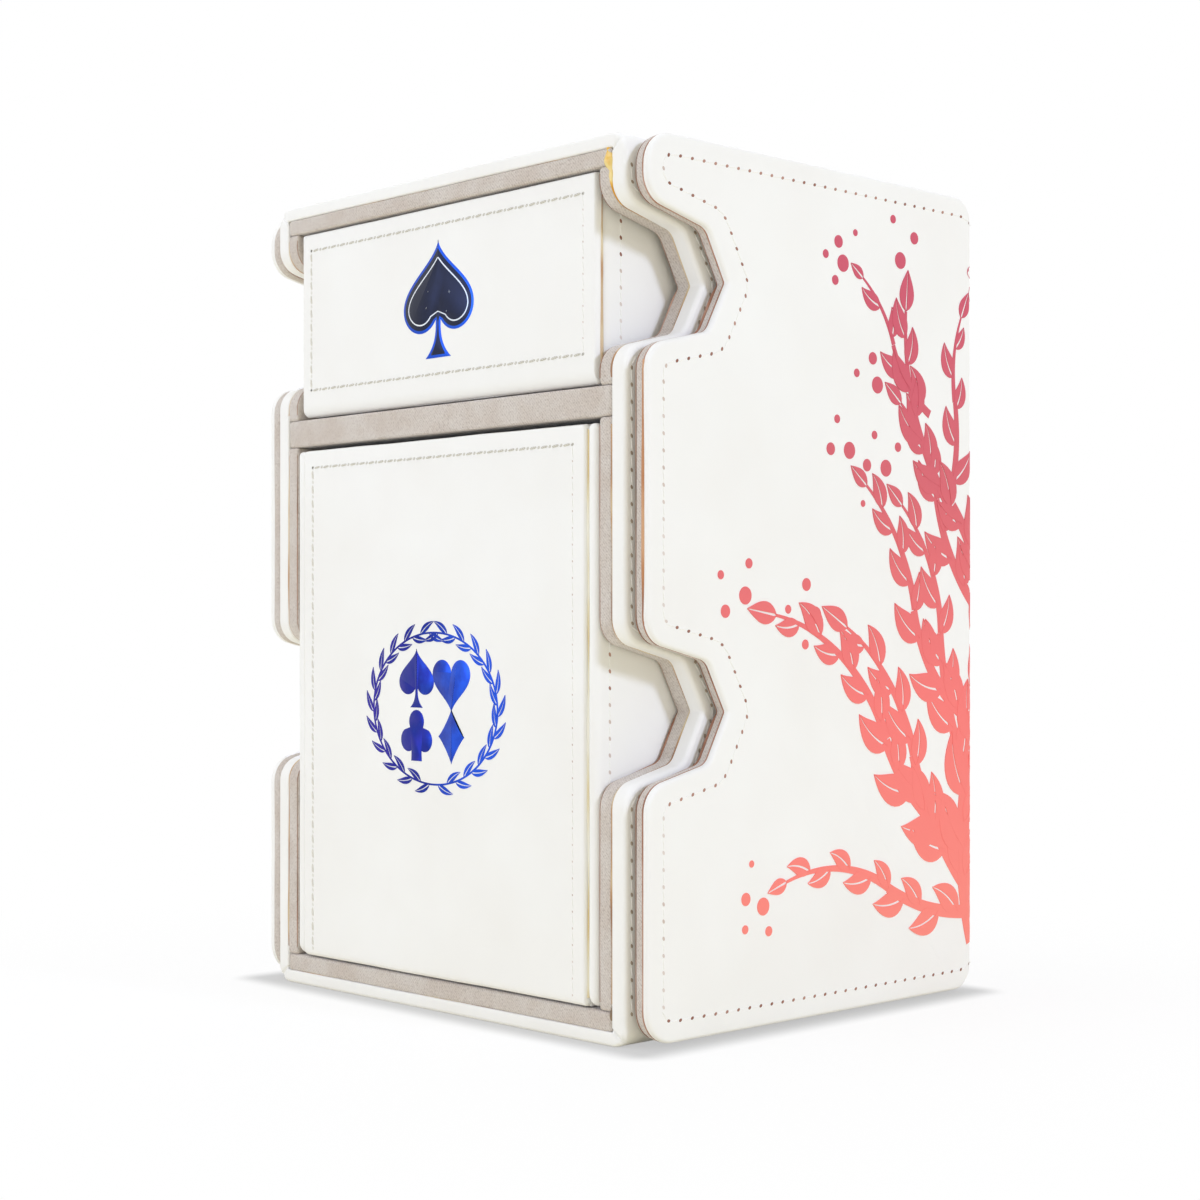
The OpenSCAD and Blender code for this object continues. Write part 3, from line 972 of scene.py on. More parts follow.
def bead(path: Array, radius: Array, sides: int = 8) -> Surface:
    """A bead of glue: a round section of changing radius carried along a path.

    Args:
        path: points along the bead, as (n, 3).
        radius: its radius at each point.
        sides: points round the section.

    Returns:
        The closed bead.
    """
    along = unit(np.gradient(path, axis=0))
    nearly_along_x = np.abs(along[:, :1]) > 0.9
    helper = np.where(nearly_along_x, [[0.0, 1.0, 0.0]], [[1.0, 0.0, 0.0]])
    first = unit(np.cross(along, helper))
    second = np.cross(along, first)
    angle = turns(sides)
    circle = first[:, None] * np.cos(angle)[None, :, None] + second[:, None] * np.sin(angle)[None, :, None]
    return lofted(path[:, None] + radius[:, None, None] * circle)


# ---- Sub-assemblies ----------------------------------------------------------------------


@dataclass
class SubAssembly:
    """A group of pieces that ride on one body of the box."""

    body: str
    nodes: dict[str, bpy.types.Object]

    def add(self, name: str, surface: Surface, finish: Finish, replaces: Sequence[str] = (),
            attach: Callable[[bpy.types.Object], None] | None = None) -> None:
        """Makes a piece, dresses it and, without attach, lets it move with the body.

        Args:
            name: the piece's name.
            surface: its mesh.
            finish: its finish.
            replaces: CAD nodes that it stands for.
            attach: handles it in its own way in place of that; without it, it rides on the body.
        """
        piece = smooth_object(name, surface, finish.material())
        if attach is None:
            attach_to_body(piece, self.body)
        else:
            attach(piece)
        if replaces:
            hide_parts(*replaces)
        LOG.info("%s moves with %s, %d faces", name, self.body, len(surface.faces))

    def add_seam(self, name: str, path: Array, out: Sequence[float], seam: Seam = Seam(),
                 thread: Finish = THREAD, hole: Finish = HOLE) -> None:
        """Sews a row of stitches on a flat face.

        Args:
            name: name of the row.
            path: points along it.
            out: the way out of the leather.
            seam: kind of stitch.
            thread: finish of the thread.
            hole: finish of the needle holes.
        """
        normals = np.broadcast_to(out, path.shape)
        self.add(f"{name}_thread", seam.threads(path, normals), thread)
        self.add(f"{name}_holes", seam.holes(path, normals), hole)

    def dress(self, finish: Finish, *names: str) -> None:
        """Gives CAD nodes that stay in view a finish.

        Args:
            finish: the finish.
            names: the nodes to dress.
        """
        for name in names:
            node = self.nodes[name]
            node.data.materials.clear()
            node.data.materials.append(finish.material())
            LOG.info("%s keeps its CAD mesh with %s", name, finish.name)


class TubePath:
    """Outer surface of the case as a closed walk: a rectangle with round corners in the XZ plane."""

    SAMPLES = 40

    def __init__(self, half_width: float, height: float, radius: float) -> None:
        """Walks from the middle of the floor to the right, up, over and back.

        Args:
            half_width: half the case's width.
            height: its height.
            radius: radius of its corners.
        """
        self.radius = radius
        a = half_width - radius
        centres = np.array([[a, radius], [a, height - radius], [-a, height - radius], [-a, radius]])
        starts = np.array([-90.0, 0.0, 90.0, 180.0])
        angle = np.radians(starts[:, None] + np.linspace(0, 90, self.SAMPLES))
        way_out = on_circle(angle).reshape(-1, 2)
        points = np.repeat(centres, self.SAMPLES, axis=0) + radius * way_out
        down = np.array([[0.0, -1.0]])
        self.points = np.concatenate([[[0.0, 0.0]], points, [[0.0, 0.0]]])
        self.out = np.concatenate([down, way_out, down])
        self.run = run_along(self.points)
        self.length = float(self.run[-1])
        # Where the walk reaches the middle of each corner
        self.mitres = self.run[1 + self.SAMPLES // 2 :: self.SAMPLES][:4]

    def at(self, s: Array) -> tuple[Array, Array]:
        """Place and outward normal in XZ at distance s along the walk."""
        place = np.stack([np.interp(s, self.run, self.points[:, k]) for k in (0, 1)], axis=-1)
        out = unit(np.stack([np.interp(s, self.run, self.out[:, k]) for k in (0, 1)], axis=-1))
        return place, out

    def wall_s(self, side: Side, z: float) -> float:
        """Distance along the walk of height z on a side wall."""
        up = self.run[self.SAMPLES] + (z - self.radius)
        return float(up if side is Side.RIGHT else self.length - up)


@dataclass
class CaseShell(SubAssembly):
    """The leather-wrapped outer box: decks and side walls in one skin, with the finger notches."""

    corner_r: float = 3.3
    outer_r: float = 0.85
    inner_r: float = 0.45
    stitch_inset: float = 2.3
    # The stitch row runs this much nearer the edge along the straight fingers than round the notches
    row_forward: float = 0.8
    mitre_depth: float = 0.35
    face_inset: float = 6.0
    notch_depth: float = 18.0
    # The stitch rows stop this far from the decks
    row_end: float = 5.5

    def __post_init__(self) -> None:
        """Takes the shell's sizes from the decks and walls."""
        low, high = node_box("case_right_wall")
        deck_low, deck_high = node_box("case_bottom_deck")
        self.half = high[0]
        self.wall_t = high[0] - low[0]
        self.deck_t = deck_high[2]
        self.front, self.back = deck_low[1], deck_high[1]
        self.height = node_box("case_top_deck")[1][2]
        self.walk = TubePath(self.half, self.height, self.corner_r)

    def front_outline(self, forward: float = 0.0) -> Outline:
        """The front edge unrolled: distance along the walk against depth, with four notches.

        Args:
            forward: moves the straight stretches forward and leaves the notches' points in place.

        Returns:
            The open outline.
        """
        front = self.front - forward
        corners = [Corner(0, front)]
        for side, heights in ((Side.RIGHT, NOTCH_ZS), (Side.LEFT, NOTCH_ZS[::-1])):
            for z in heights:
                notch = GemNotch(self.walk.wall_s(side, z), self.notch_depth + forward)
                corners += [Corner(c.v, c.u, c.radius) for c in notch.corners(front, True)]
        corners.append(Corner(self.walk.length, front))
        return Outline(corners, closed=False, spacing=0.5)

    def placed(self, sheet: Array, depth: Array) -> Array:
        """Wraps unrolled points round the walk.

        Args:
            sheet: points as (..., 2), distance along the walk and Y.
            depth: how far each lies under the outer surface, as a share of the wall.

        Returns:
            Points as (..., 3).
        """
        place, out = self.walk.at(sheet[..., 0])
        # The board's thickness turns from the deck's to the wall's within the round corner
        on_wall = smooth((np.abs(out[..., 0]) - 0.3) / 0.6)
        thickness = self.deck_t + (self.wall_t - self.deck_t) * on_wall
        sunk = place - out * (depth * thickness)[..., None]
        return xyz(sunk[..., 0], sheet[..., 1], sunk[..., 1])

    def skin(self) -> Surface:
        """Section of the edge carried round the front outline, with both faces run back to the spine."""
        turn = np.linspace(0, math.pi / 2, 7)
        inner = np.stack([self.inner_r * (1 - np.sin(turn)),
                          1 - self.inner_r / self.wall_t * (1 - np.cos(turn))], 1)
        outer = np.stack([self.outer_r * (1 - np.cos(turn)),
                          self.outer_r / self.wall_t * (1 - np.sin(turn))], 1)
        face = np.array([[self.outer_r + 1.0, 0.0], [self.face_inset, 0.0]])
        stations = np.concatenate([[[self.face_inset, 1.0]], inner, outer, face])
        outline = self.front_outline()
        rings = np.stack([outline.ring(inset) for inset in stations[:, 0]])[:, :-1]
        crease_w = 0.5
        crease = sum(bump(rings[..., 0] - s, crease_w) for s in self.walk.mitres)
        rings[..., 1] += self.mitre_depth * crease * (stations[:, 0] < self.face_inset)[:, None]
        depth = np.broadcast_to(stations[:, 1][:, None], rings.shape[:2])
        back = rings[[0, -1]].copy()
        back[..., 1] = self.back
        rings = np.concatenate([back[:1], rings, back[1:]])
        depth = np.concatenate([depth[:1], depth, depth[-1:]])
        return lofted(self.placed(rings, depth), flip=True, caps=False, loop_rows=True)

    def build(self) -> None:
        """Makes the shell and the stitch row along each side wall's front edge."""
        self.add("case_shell", self.skin(), LEATHER,
                 ["case_bottom_deck", "case_top_deck", "case_right_wall", "case_left_wall"])
        row = self.front_outline(self.row_forward).ring(self.stitch_inset)
        for side in Side:
            ends = sorted(self.walk.wall_s(side, z) for z in (self.row_end, self.height - self.row_end))
            sheet = row[(row[:, 0] > ends[0]) & (row[:, 0] < ends[1])]
            path = self.placed(sheet, np.zeros(len(sheet)))
            self.add_seam(f"case_{side.word}_wall_stitches", path, (side.value, 0.0, 0.0), hole=SHADED_HOLE)
        self.dress(LEATHER, "case_back_wall")


@dataclass
class Linings(SubAssembly):
    """The suede-wrapped boards inside the case, and the glue that shows between them and the shell."""

    edge_r: float = 0.5
    end_r: float = 0.7
    notch_depth: float = 18.0
    glue_r: float = 0.3

    def side_outline(self, node: str, notch_z: float) -> Outline:
        """Outline of a side lining with its notch, in Y and Z."""
        low, high = node_box(node)
        corners = [Corner(high[1], low[2], 0.3), Corner(high[1], high[2], 0.3),
                   Corner(low[1], high[2], self.end_r)]
        corners += GemNotch(notch_z, self.notch_depth).corners(low[1], False)
        corners.append(Corner(low[1], low[2], self.end_r))
        return Outline(corners)

    def build(self) -> None:
        """Makes the four side linings and the three boards across the case."""
        for level in ("lower", "upper"):
            for side in Side:
                self.side_lining(f"{level}_{side.word}_lining", side)
        for seed, name in enumerate(("floor_lining", "divider_shelf", "top_lining")):
            self.cross_board(name, float(seed))
        self.dress(SUEDE, "lower_back_lining", "upper_back_lining")
        self.dress(NICKEL, "case_magnets")
        self.glue_lines()

    def side_lining(self, node: str, side: Side) -> None:
        """Wraps one side lining, with glue along its outer front edge and, along the inner one, a brown bead
        for its raw edge that is thicker on the notches' lower slopes, where it also stands for the thin
        shadow in the gap: partly painted shade.

        Args:
            node: the CAD node that it replaces.
            side: its side of the box.
        """
        low, high = node_box(node)
        middle, margin = (low[2] + high[2]) / 2, 1.0
        inner, outer = faces_out(low, high)
        outline = self.side_outline(node, middle)
        profile = BoardProfile(outer - inner, self.edge_r, self.edge_r)
        seed = low[2] + side.value
        suede = wrapped_board(outline, Plane.side(side, inner), profile, 0.06, seed)
        self.add(f"{node}_suede", suede, SUEDE, [node])
        # Name, inset, distance from the box's middle, radius and finish
        lines = (("glue_line", 0.4, outer, self.glue_r, GLUE),
                 ("raw_edge", 0.15, inner + 0.15, 0.2, CUT_EDGE))
        for word, inset, x, radius, finish in lines:
            ring = outline.ring(inset)
            ahead = ring[:, 0] < low[1] + self.notch_depth + 2
            front = ring[ahead & (ring[:, 1] > low[2] + margin) & (ring[:, 1] < high[2] - margin)]
            path = Plane.side(side, x).place(front, 0.0)
            uneven = 1.0 + waviness(np.arange(len(path)) * Outline.SPACING, 0.45, seed)
            # On the notches' lower slopes the raw-edge bead swells, standing also for the thin shadow in the
            # gap: painted shade
            shown = 1.0 if finish is GLUE else lower_slopes(path[:, 2], [middle], 0.3)
            self.add(f"{node}_{word}", bead(path, radius * uneven * shown), finish)

    def cross_board(self, node: str, seed: float) -> None:
        """Wraps a board that lies across the case.

        Args:
            node: the CAD node that it replaces.
            seed: makes its unevenness its own.
        """
        low, high = node_box(node)
        corners = [Corner(low[0], low[1], self.end_r), Corner(high[0], low[1], self.end_r),
                   Corner(high[0], high[1], 0.3), Corner(low[0], high[1], 0.3)]
        profile = BoardProfile(high[2] - low[2], self.edge_r, self.edge_r)
        suede = wrapped_board(Outline(corners), Plane.level(low[2]), profile, 0.08, seed)
        self.add(f"{node}_suede", suede, SUEDE, [node])

    def glue_lines(self) -> None:
        """Glue between the linings and the decks, and the runs in the two right-hand corners."""
        floor_low, _ = node_box("floor_lining")
        top_low, top_high = node_box("top_lining")
        x = np.linspace(floor_low[0] + 1.5, -floor_low[0] - 1.5, 160)
        for name, z, seed in (("floor", floor_low[2], 1.0), ("top", top_high[2], 4.0)):
            radius = self.glue_r * (0.95 + waviness(x, 0.5, seed))
            self.add(f"{name}_lining_glue_line", bead(xyz(x, floor_low[1] + 0.75, z), radius), GLUE)
        self.top_corner_glue(top_low, top_high)
        # The run in the floor's corner starts above the lining and bends inwards as it falls
        start, fall, inwards = 4.2, 3.9, 1.2
        t = np.linspace(0, 1, 30)
        path = xyz(top_high[0] - inwards * t**2, floor_low[1] + 0.35 + 0.2 * t,
                   floor_low[2] + start - fall * t)
        self.add("floor_corner_glue", bead(path, 0.12 + 0.3 * bump(t - 0.35, 0.25)), DARK_GLUE)

    def top_corner_glue(self, low: Sequence[float], high: Sequence[float]) -> None:
        """A thick yellow run at the top lining's right end, thinning down the finger's curve.

        Args:
            low: lowest corner of the top lining.
            high: its highest corner.
        """
        t = np.linspace(0, 1, 40)
        above, fall, lining_end = 0.3, 4.6, 133.0
        z = high[2] + above - fall * t
        lump = xyz(high[0] - 1.0 + 0.9 * t**1.5, low[1] + 0.62, z)
        lump_r = 0.18 + 0.8 * np.sin(math.pi * (0.12 + 0.7 * t)) * (1 - 0.25 * np.sin(9 * t))
        self.add("top_right_corner_glue", bead(lump, lump_r, 12), FRESH_GLUE)
        ring = self.side_outline("upper_right_lining", NOTCH_ZS[1]).ring(0.15)
        ahead = ring[:, 0] < low[1] + 3.6
        run = ring[ahead & (ring[:, 1] > lining_end) & (ring[:, 1] < z[-1] + 0.6)]
        path = Plane.side(Side.RIGHT, high[0]).place(run, 0.0)
        share = np.linspace(0, 1, len(path))
        run_r = 0.3 * (1 - share) + 0.07 + 0.2 * bump(share - 0.3, 0.2)
        self.add("top_right_corner_glue_run", bead(path, run_r), FRESH_GLUE)


@dataclass
class DrawerLook(SubAssembly):
    """What the upper drawer and the card tray share: stitched facing, soft walls and glue lines."""

    stitch_top: float = 3.3
    stitch_side: float = 3.0
    stitch_bottom: float = 0.0
    # Depth of the facing's rounded edges, and how far the rounding reaches in at each edge
    edge_r: float = 1.0
    hidden_r: float = 0.3
    top_reach: float = 0.35
    side_reach: float = 0.45
    foot_reach: float = 1.1
    wall_end_r: float = 1.2
    # How far the rounding reaches back at the front end of a side wall, against the other edges
    end_soft: float = 1.1
    # The right side's leather is pulled in by this much
    pulled_in: float = 0.0
    side_row: float = 3.0
    # Above this height, where the notch's shadow falls on the side walls, their needle holes take the darker
    # finish, and below it the pale one: painted shade
    shaded_holes_z: float = 57.0
    # Where the facing has no row along its foot, the others end this far above it
    row_end: float = 1.6

    def facing(self, node: str) -> tuple[list[float], list[float]]:
        """Makes the stitched facing with its crown.

        Args:
            node: the CAD node that it replaces.

        Returns:
            The node's lowest and highest corners.
        """
        low, high = node_box(node)
        high[0] -= self.pulled_in
        foot_r, top_r = 0.7, 0.6
        corners = [Corner(low[0], low[2], foot_r, self.foot_reach / self.edge_r),
                   Corner(high[0], low[2], foot_r, self.side_reach / self.edge_r),
                   Corner(high[0], high[2], top_r, self.top_reach / self.edge_r),
                   Corner(low[0], high[2], top_r, self.side_reach / self.edge_r)]
        profile = BoardProfile(high[1] - low[1], self.hidden_r, self.edge_r, 0.1)
        surface = wrapped_board(Outline(corners), Plane.front(high[1]), profile, 0.05, low[2])
        self.add(f"{node}_leather", surface, LEATHER, [node])
        self.sew(node, low, high)
        return low, high

    def sew(self, node: str, low: Sequence[float], high: Sequence[float]) -> None:
        """Sews the facing's rows: the sunk one on the left, top and foot, and the fine one on the right; the
        sunk rows' greyed thread and holes are painted shade.

        Args:
            node: name that the rows take.
            low: lowest corner of the facing.
            high: its highest corner.
        """
        left, right = low[0] + self.stitch_side, high[0] - self.stitch_side
        top, foot = high[2] - self.stitch_top, low[2] + (self.stitch_bottom or self.row_end)
        sunk = Seam(thread_r=0.2, thread_share=0.62, arch=0.9)
        # The grey of the sunk rows' thread and holes is painted shade
        rows = {"top": ([Corner(left, top), Corner(right, top)], sunk, SHADED_SUNK_THREAD, SHADED_SUNK_THREAD),
                "left": ([Corner(left, foot), Corner(left, top)], sunk, SHADED_FAINT_THREAD, SHADED_FAINT_THREAD),
                "right": ([Corner(right, top), Corner(right, foot)],
                          Seam(hole_length=0.42, hole_width=0.3), THREAD, PALE_HOLE)}
        if self.stitch_bottom:
            rows["foot"] = ([Corner(right, foot), Corner(left, foot)], sunk, SHADED_SUNK_THREAD, SHADED_SUNK_THREAD)
        for name, (corners, seam, thread, hole) in rows.items():
            path = Plane.front(low[1]).place(Outline(corners, closed=False).ring(0.0), 0.0)
            self.add_seam(f"{node}_{name}_stitches", path, (0.0, -1.0, 0.0), seam, thread, hole)

    def wall(self, node: str, side: Side) -> None:
        """Makes a soft-edged side wall with its stitch row.

        Args:
            node: the CAD node that it replaces.
            side: its side of the drawer.
        """
        low, high = node_box(node)
        pull = self.pulled_in if side is Side.RIGHT else 0.0
        inner, outer = (low[0] - pull, high[0] - pull) if side is Side.RIGHT else (-high[0], -low[0])
        front_foot_r, back_foot_r, back_top_r, above_foot, below_top = 2.2, 0.6, 0.8, 2.5, 2.0
        corners = [Corner(low[1], low[2], front_foot_r), Corner(high[1], low[2], back_foot_r),
                   Corner(high[1], high[2], back_top_r),
                   Corner(low[1], high[2], self.wall_end_r, self.end_soft)]
        profile = BoardProfile(outer - inner, 1.1, 1.1)
        plane = Plane.side(side, inner)
        leather = wrapped_board(Outline(corners), plane, profile, 0.04, high[0])
        self.add(f"{node}_leather", leather, LEATHER, [node])
        row, seam = f"{node}_stitches", Seam()
        z = np.linspace(low[2] + above_foot, high[2] - below_top, 40)
        path = xyz(side.value * outer, low[1] + self.side_row, z)
        out = np.broadcast_to([side.value, 0.0, 0.0], path.shape)
        self.add(f"{row}_thread", seam.threads(path, out), THREAD)
        # The side row's holes are dark where the notch's shadow falls on the wall and pale below it: painted
        # shade
        self.add(f"{row}_holes", seam.holes(path, out, lambda place: place[:, 2] > self.shaded_holes_z), HOLE)
        pale_lit_holes = seam.holes(path, out, lambda place: place[:, 2] <= self.shaded_holes_z)
        self.add(f"{row}_filled_holes", pale_lit_holes, PALE_HOLE)

    def glue(self, name: str, x: float, y: float, low: float, high: float, radius: float = 0.2,
             finish: Finish = GLUE) -> None:
        """Runs an upright glue line at (x, y) from low to high, with a mean radius."""
        z = np.linspace(low, high, 90)
        self.add(name, bead(xyz(x, y, z), radius * (1 + waviness(z, 0.4, x))), finish)


class Suit(Enum):
    """The four card suits, as the names of their outlines."""

    SPADE = "spade"
    HEART = "heart"
    CLUB = "club"
    DIAMOND = "diamond"


def heart_curve(t: Array) -> Array:
    """The classic heart curve, x = 16 sin^3 t with four cosines for the height, scaled to height 1."""
    x = 16 * np.sin(t) ** 3
    z = 13 * np.cos(t) - 5 * np.cos(2 * t) - 2 * np.cos(3 * t) - np.cos(4 * t)
    return np.stack([x, z], axis=1) / 29.0


def with_stem(body: Array, foot: float, foot_w: float) -> Array:
    """Closes an open outline with a stem that flares with the cube of the way down.

    Args:
        body: the outline, anticlockwise from the stem's right side round to its left side.
        foot: height of the stem's foot.
        foot_w: half width of the foot.

    Returns:
        The whole rim.
    """
    t = np.linspace(0, 1, 18)[1:, None]
    down = np.concatenate([t**3, t], axis=1)
    left = body[-1] + (np.array([-foot_w, foot]) - body[-1]) * down
    right = body[0] + (np.array([foot_w, foot]) - body[0]) * down
    across = np.linspace(-foot_w, foot_w, 14)[1:-1]
    sole = np.stack([across, np.full_like(across, foot)], axis=1)
    return np.concatenate([body, left, sole, right[::-1]])


def suit_rim(suit: Suit) -> Array:
    """The rim of a suit about 1 high, centred on the origin.

    Args:
        suit: which suit.

    Returns:
        Points, anticlockwise.
    """
    if suit is Suit.HEART:
        return heart_curve(turns(96))[::-1] * 1.05
    if suit is Suit.DIAMOND:
        t = turns(80)
        # Powers over 2 of sine and cosine give slightly hollow sides
        hollow = np.stack([0.4 * np.abs(np.cos(t)) ** 2.3, 0.54 * np.abs(np.sin(t)) ** 2.3], axis=1)
        return hollow * np.stack([np.sign(np.cos(t)), np.sign(np.sin(t))], axis=1)
    if suit is Suit.CLUB:
        lobes = [(0.26, -0.1, -115, 60), (0.0, 0.27, -30, 210), (-0.26, -0.1, 120, 295)]
        arcs, lobe_r = [], 0.235
        for x, z, start, end in lobes:
            turn = np.radians(np.linspace(start, end, 30))
            arcs.append(np.array([x, z]) + lobe_r * on_circle(turn))
        return with_stem(np.concatenate(arcs), -0.52, 0.17)
    # The spade is the heart upside down, opened where the stem leaves it
    t = np.linspace(0.42, 2 * math.pi - 0.42, 120)
    return with_stem(heart_curve(t) * np.array([1.0, -0.92]) + np.array([0.0, 0.1]), -0.54, 0.2)


def inset_rim(rim: Array, distance: float) -> Array:
    """Moves a dense anticlockwise rim inwards along its normals."""
    along = unit(np.roll(rim, -1, 0) - np.roll(rim, 1, 0))
    return rim + np.stack([-along[:, 1], along[:, 0]], axis=1) * distance


def shrunk_rim(rim: Array, distance: float, above: float = -math.inf) -> Array:
    """Insets a rim that is the same left and right, without the points that would cross another side.

    Args:
        rim: the rim about its own middle.
        distance: how far it moves inwards.
        above: what lies lower than this is left out too.

    Returns:
        The smaller rim.
    """
    moved = inset_rim(rim, distance)
    gap = np.linalg.norm(moved[:, None] - rim[None], axis=-1).min(axis=1)
    own_side = moved[:, 0] * rim[:, 0] >= 0
    return moved[(gap >= 0.97 * distance) & own_side & (moved[:, 1] > above)]


def disc_rim(radius: float, count: int = 28) -> Array:
    """A circle about the origin."""
    return radius * on_circle(turns(count))


@dataclass
class FoilMotif:
    """A generic motif stamped in foil on a drawer front."""

    plane: Plane
    thickness: float = 0.06

    def film(self, rim: Array, lift: float = 0.0) -> Surface:
        """Turns a rim into a thin film with a bevelled edge.

        Args:
            rim: closed outline on the front, in millimetres.
            lift: how far the film lies over others.

        Returns:
            The film.
        """
        stack = np.stack([rim, rim, inset_rim(rim, self.thickness)])
        heights = np.array([-self.thickness, 0.5 * self.thickness, self.thickness]) + lift
        return lofted(self.plane.place(stack, heights[:, None]), flip=self.plane.mirrored)

    def suit(self, suit: Suit, x: float, z: float, size: float, inset: float = 0.0, lift: float = 0.0,
             above: float = -math.inf) -> Surface:
        """One suit about (x, z), size high, its rim moved in by inset; lowest is above times size."""
        return self.film(shrunk_rim(suit_rim(suit) * size, inset, above * size) + np.array([x, z]), lift)

    def blades(self, blades: "Blades") -> Surface:
        """Leaves or stems."""
        return film_surface(blades.grids(), self.plane.place, self.plane.mirrored, self.thickness)

    def band(self, rim: Array, inner: float, outer: float) -> Surface:
        """The strip of film between two scaled copies of a rim, closed underneath.

        Args:
            rim: the rim about its own middle.
            inner: scale of the inner edge.
            outer: scale of the outer edge.

        Returns:
            The strip.
        """
        middle = rim.mean(axis=0)
        shares = np.array([outer, outer, (inner + outer) / 2, inner, inner])
        heights = np.array([-1.0, 0.6, 1.0, 0.6, -1.0]) * self.thickness
        flat = middle + (rim - middle)[None] * shares[:, None, None]
        points = self.plane.place(flat, np.broadcast_to(heights[:, None], flat.shape[:2]))
        return lofted(points, flip=self.plane.mirrored, caps=False, loop_rows=True)


@dataclass(frozen=True)
class Blades:
    """Many leaves or stems at once: each bends evenly along its length and is split down its middle."""

    base: Array
    angle: Array
    length: Array
    bend: Array
    width: Array
    width_end: Array | None = None
    midrib: float = 0.16
    steps: int = 13
    across: int = 3

    def line(self) -> tuple[Array, Array]:
        """Middle line of each blade: its heading turns by bend from base to tip.

        Returns:
            Points as (blade, step, 2) and headings as (blade, step).
        """
        t = np.linspace(0.0, 1.0, self.steps)
        heading = self.angle[:, None] + self.bend[:, None] * t
        step = on_circle(heading) * (self.length[:, None] / (self.steps - 1))[..., None]
        return self.base[:, None] + np.cumsum(step, axis=1) - step, heading

    def grids(self) -> Array:
        """Points of every half blade.

        A leaf's half width follows sin(pi t^0.75); a stem's runs evenly from width to width_end.

        Returns:
            Points as (blade, half, along, across, 2).
        """
        t = np.linspace(0.0, 1.0, self.steps)
        line, heading = self.line()
        normal = np.stack([-np.sin(heading), np.cos(heading)], axis=-1)
        if self.width_end is None:
            half = self.width[:, None] * np.sin(math.pi * t**0.75) + 0.03
        else:
            half = self.width[:, None] + (self.width_end - self.width)[:, None] * t
        gap = np.minimum(self.midrib * (1 - 0.6 * t), half * 0.4)
        offset = gap[..., None] + (half - gap)[..., None] * np.linspace(0, 1, self.across)
        reach = offset[:, None] * np.array([1.0, -1.0])[None, :, None, None]
        return line[:, None, :, None] + normal[:, None, :, None] * reach[..., None]


def film_surface(grids: Array, place: Callable[[Array, Array | float], Array], mirrored: bool,
                 lift: float) -> Surface:
    """Turns half blades into thin closed films: a face, a skirt round it and a flat back.

    Each blade lies a hair higher than the one before, in turns of 16, so that none share a plane.

    Args:
        grids: points as (blade, half, along, across, 2).
        place: maps flat points at a height to space.
        mirrored: True if the flat axes are left-handed there.
        lift: height of the lowest film's face; the backs lie 0.05 under the surface.

    Returns:
        The films.
    """
    flat = grids.reshape(-1, *grids.shape[2:])
    shapes, rows, columns = flat.shape[:3]
    index = np.arange(rows * columns).reshape(rows, columns)
    border = np.concatenate([index[:, 0], index[-1, 1:-1], index[::-1, -1], index[0, -2:0:-1]])
    under = rows * columns + np.arange(len(border))
    face = flat.reshape(shapes, -1, 2)
    lifts = (lift + 0.0015 * (np.arange(shapes) // 2 % 16))[:, None]
    points = np.concatenate([place(face, lifts), place(face[:, border], -0.05)], axis=1)
    wall = np.stack([border, np.roll(border, -1), np.roll(under, -1), under], axis=1)
    quads = np.concatenate([grid_quads(rows, columns), wall])
    made = []
    for half in (0, 1):
        turned = (half == 0) != mirrored
        faces, back = (quads[:, ::-1], under[::-1]) if turned else (quads, under)
        made.append(repeated(points[half::2], faces, [list(back)]))
    return joined(made)


@dataclass
class UpperDrawer(DrawerLook):
    """The upper drawer: a facing sewn on four sides and stitched side walls."""

    stitch_bottom: float = 5.0
    edge_r: float = 1.2
    hidden_r: float = 0.1
    foot_reach: float = 2.1
    end_soft: float = 2.2
    pulled_in: float = 0.95
    side_row: float = 4.3
    shaded_holes_z: float = 127.5
    motif_size: float = 17.5
    motif_x: float = 0.0

    def build(self) -> None:
        """Makes the facing, the walls, the glue seam and the foil."""
        low, high = self.facing("upper_drawer_facing")
        for side in Side:
            self.wall(f"upper_drawer_{side.word}_wall", side)
            x = high[0] if side is Side.RIGHT else low[0]
            self.glue(f"upper_drawer_{side.word}_glue_line", x - 0.12 * side.value, high[1] + 0.05,
                      low[2] + 0.8, high[2] - 0.8, 0.24)
        self.stamp(low[1], (low[2] + high[2]) / 2)
        self.dress(LEATHER, "upper_drawer_front_board", "upper_drawer_back_wall", "upper_drawer_floor")
        self.dress(SUEDE, "upper_drawer_mat")

    def stamp(self, y: float, z: float) -> None:
        """Stamps a navy spade with a bright blue rim, a fine silver line inside it and four sparkles.

        Args:
            y: depth of the front.
            z: height of the middle.
        """
        motif = FoilMotif(Plane.front(y))
        x, size = self.motif_x, self.motif_size
        self.add("upper_drawer_spade_rim", motif.suit(Suit.SPADE, x, z, size), RIM_FOIL)
        self.add("upper_drawer_spade_foil", motif.suit(Suit.SPADE, x, z, size, 0.5, 0.02), NAVY_FOIL)
        # The line and the heart inside it keep to the spade's body
        body = -0.33
        self.add("upper_drawer_spade_line", motif.suit(Suit.SPADE, x, z, size, 1.35, 0.04, body), LINE_FOIL)
        self.add("upper_drawer_spade_heart", motif.suit(Suit.SPADE, x, z, size, 1.6, 0.06, body), NAVY_FOIL)
        turn = np.array([0.4, 2.5, 3.5, 5.5])
        places = np.stack([x + 3.4 * np.cos(turn), z + 0.6 + 3.0 * np.sin(turn)], axis=1)
        count = 28
        spikes = (0.55 + 0.45 * np.cos(4 * turns(count)))[:, None]
        sparkles = joined(motif.film(disc_rim(radius, count) * spikes + place, 0.08)
                          for place, radius in zip(places, (0.28, 0.2, 0.24, 0.18)))
        self.add("upper_drawer_spade_sparkles", sparkles, LINE_FOIL)


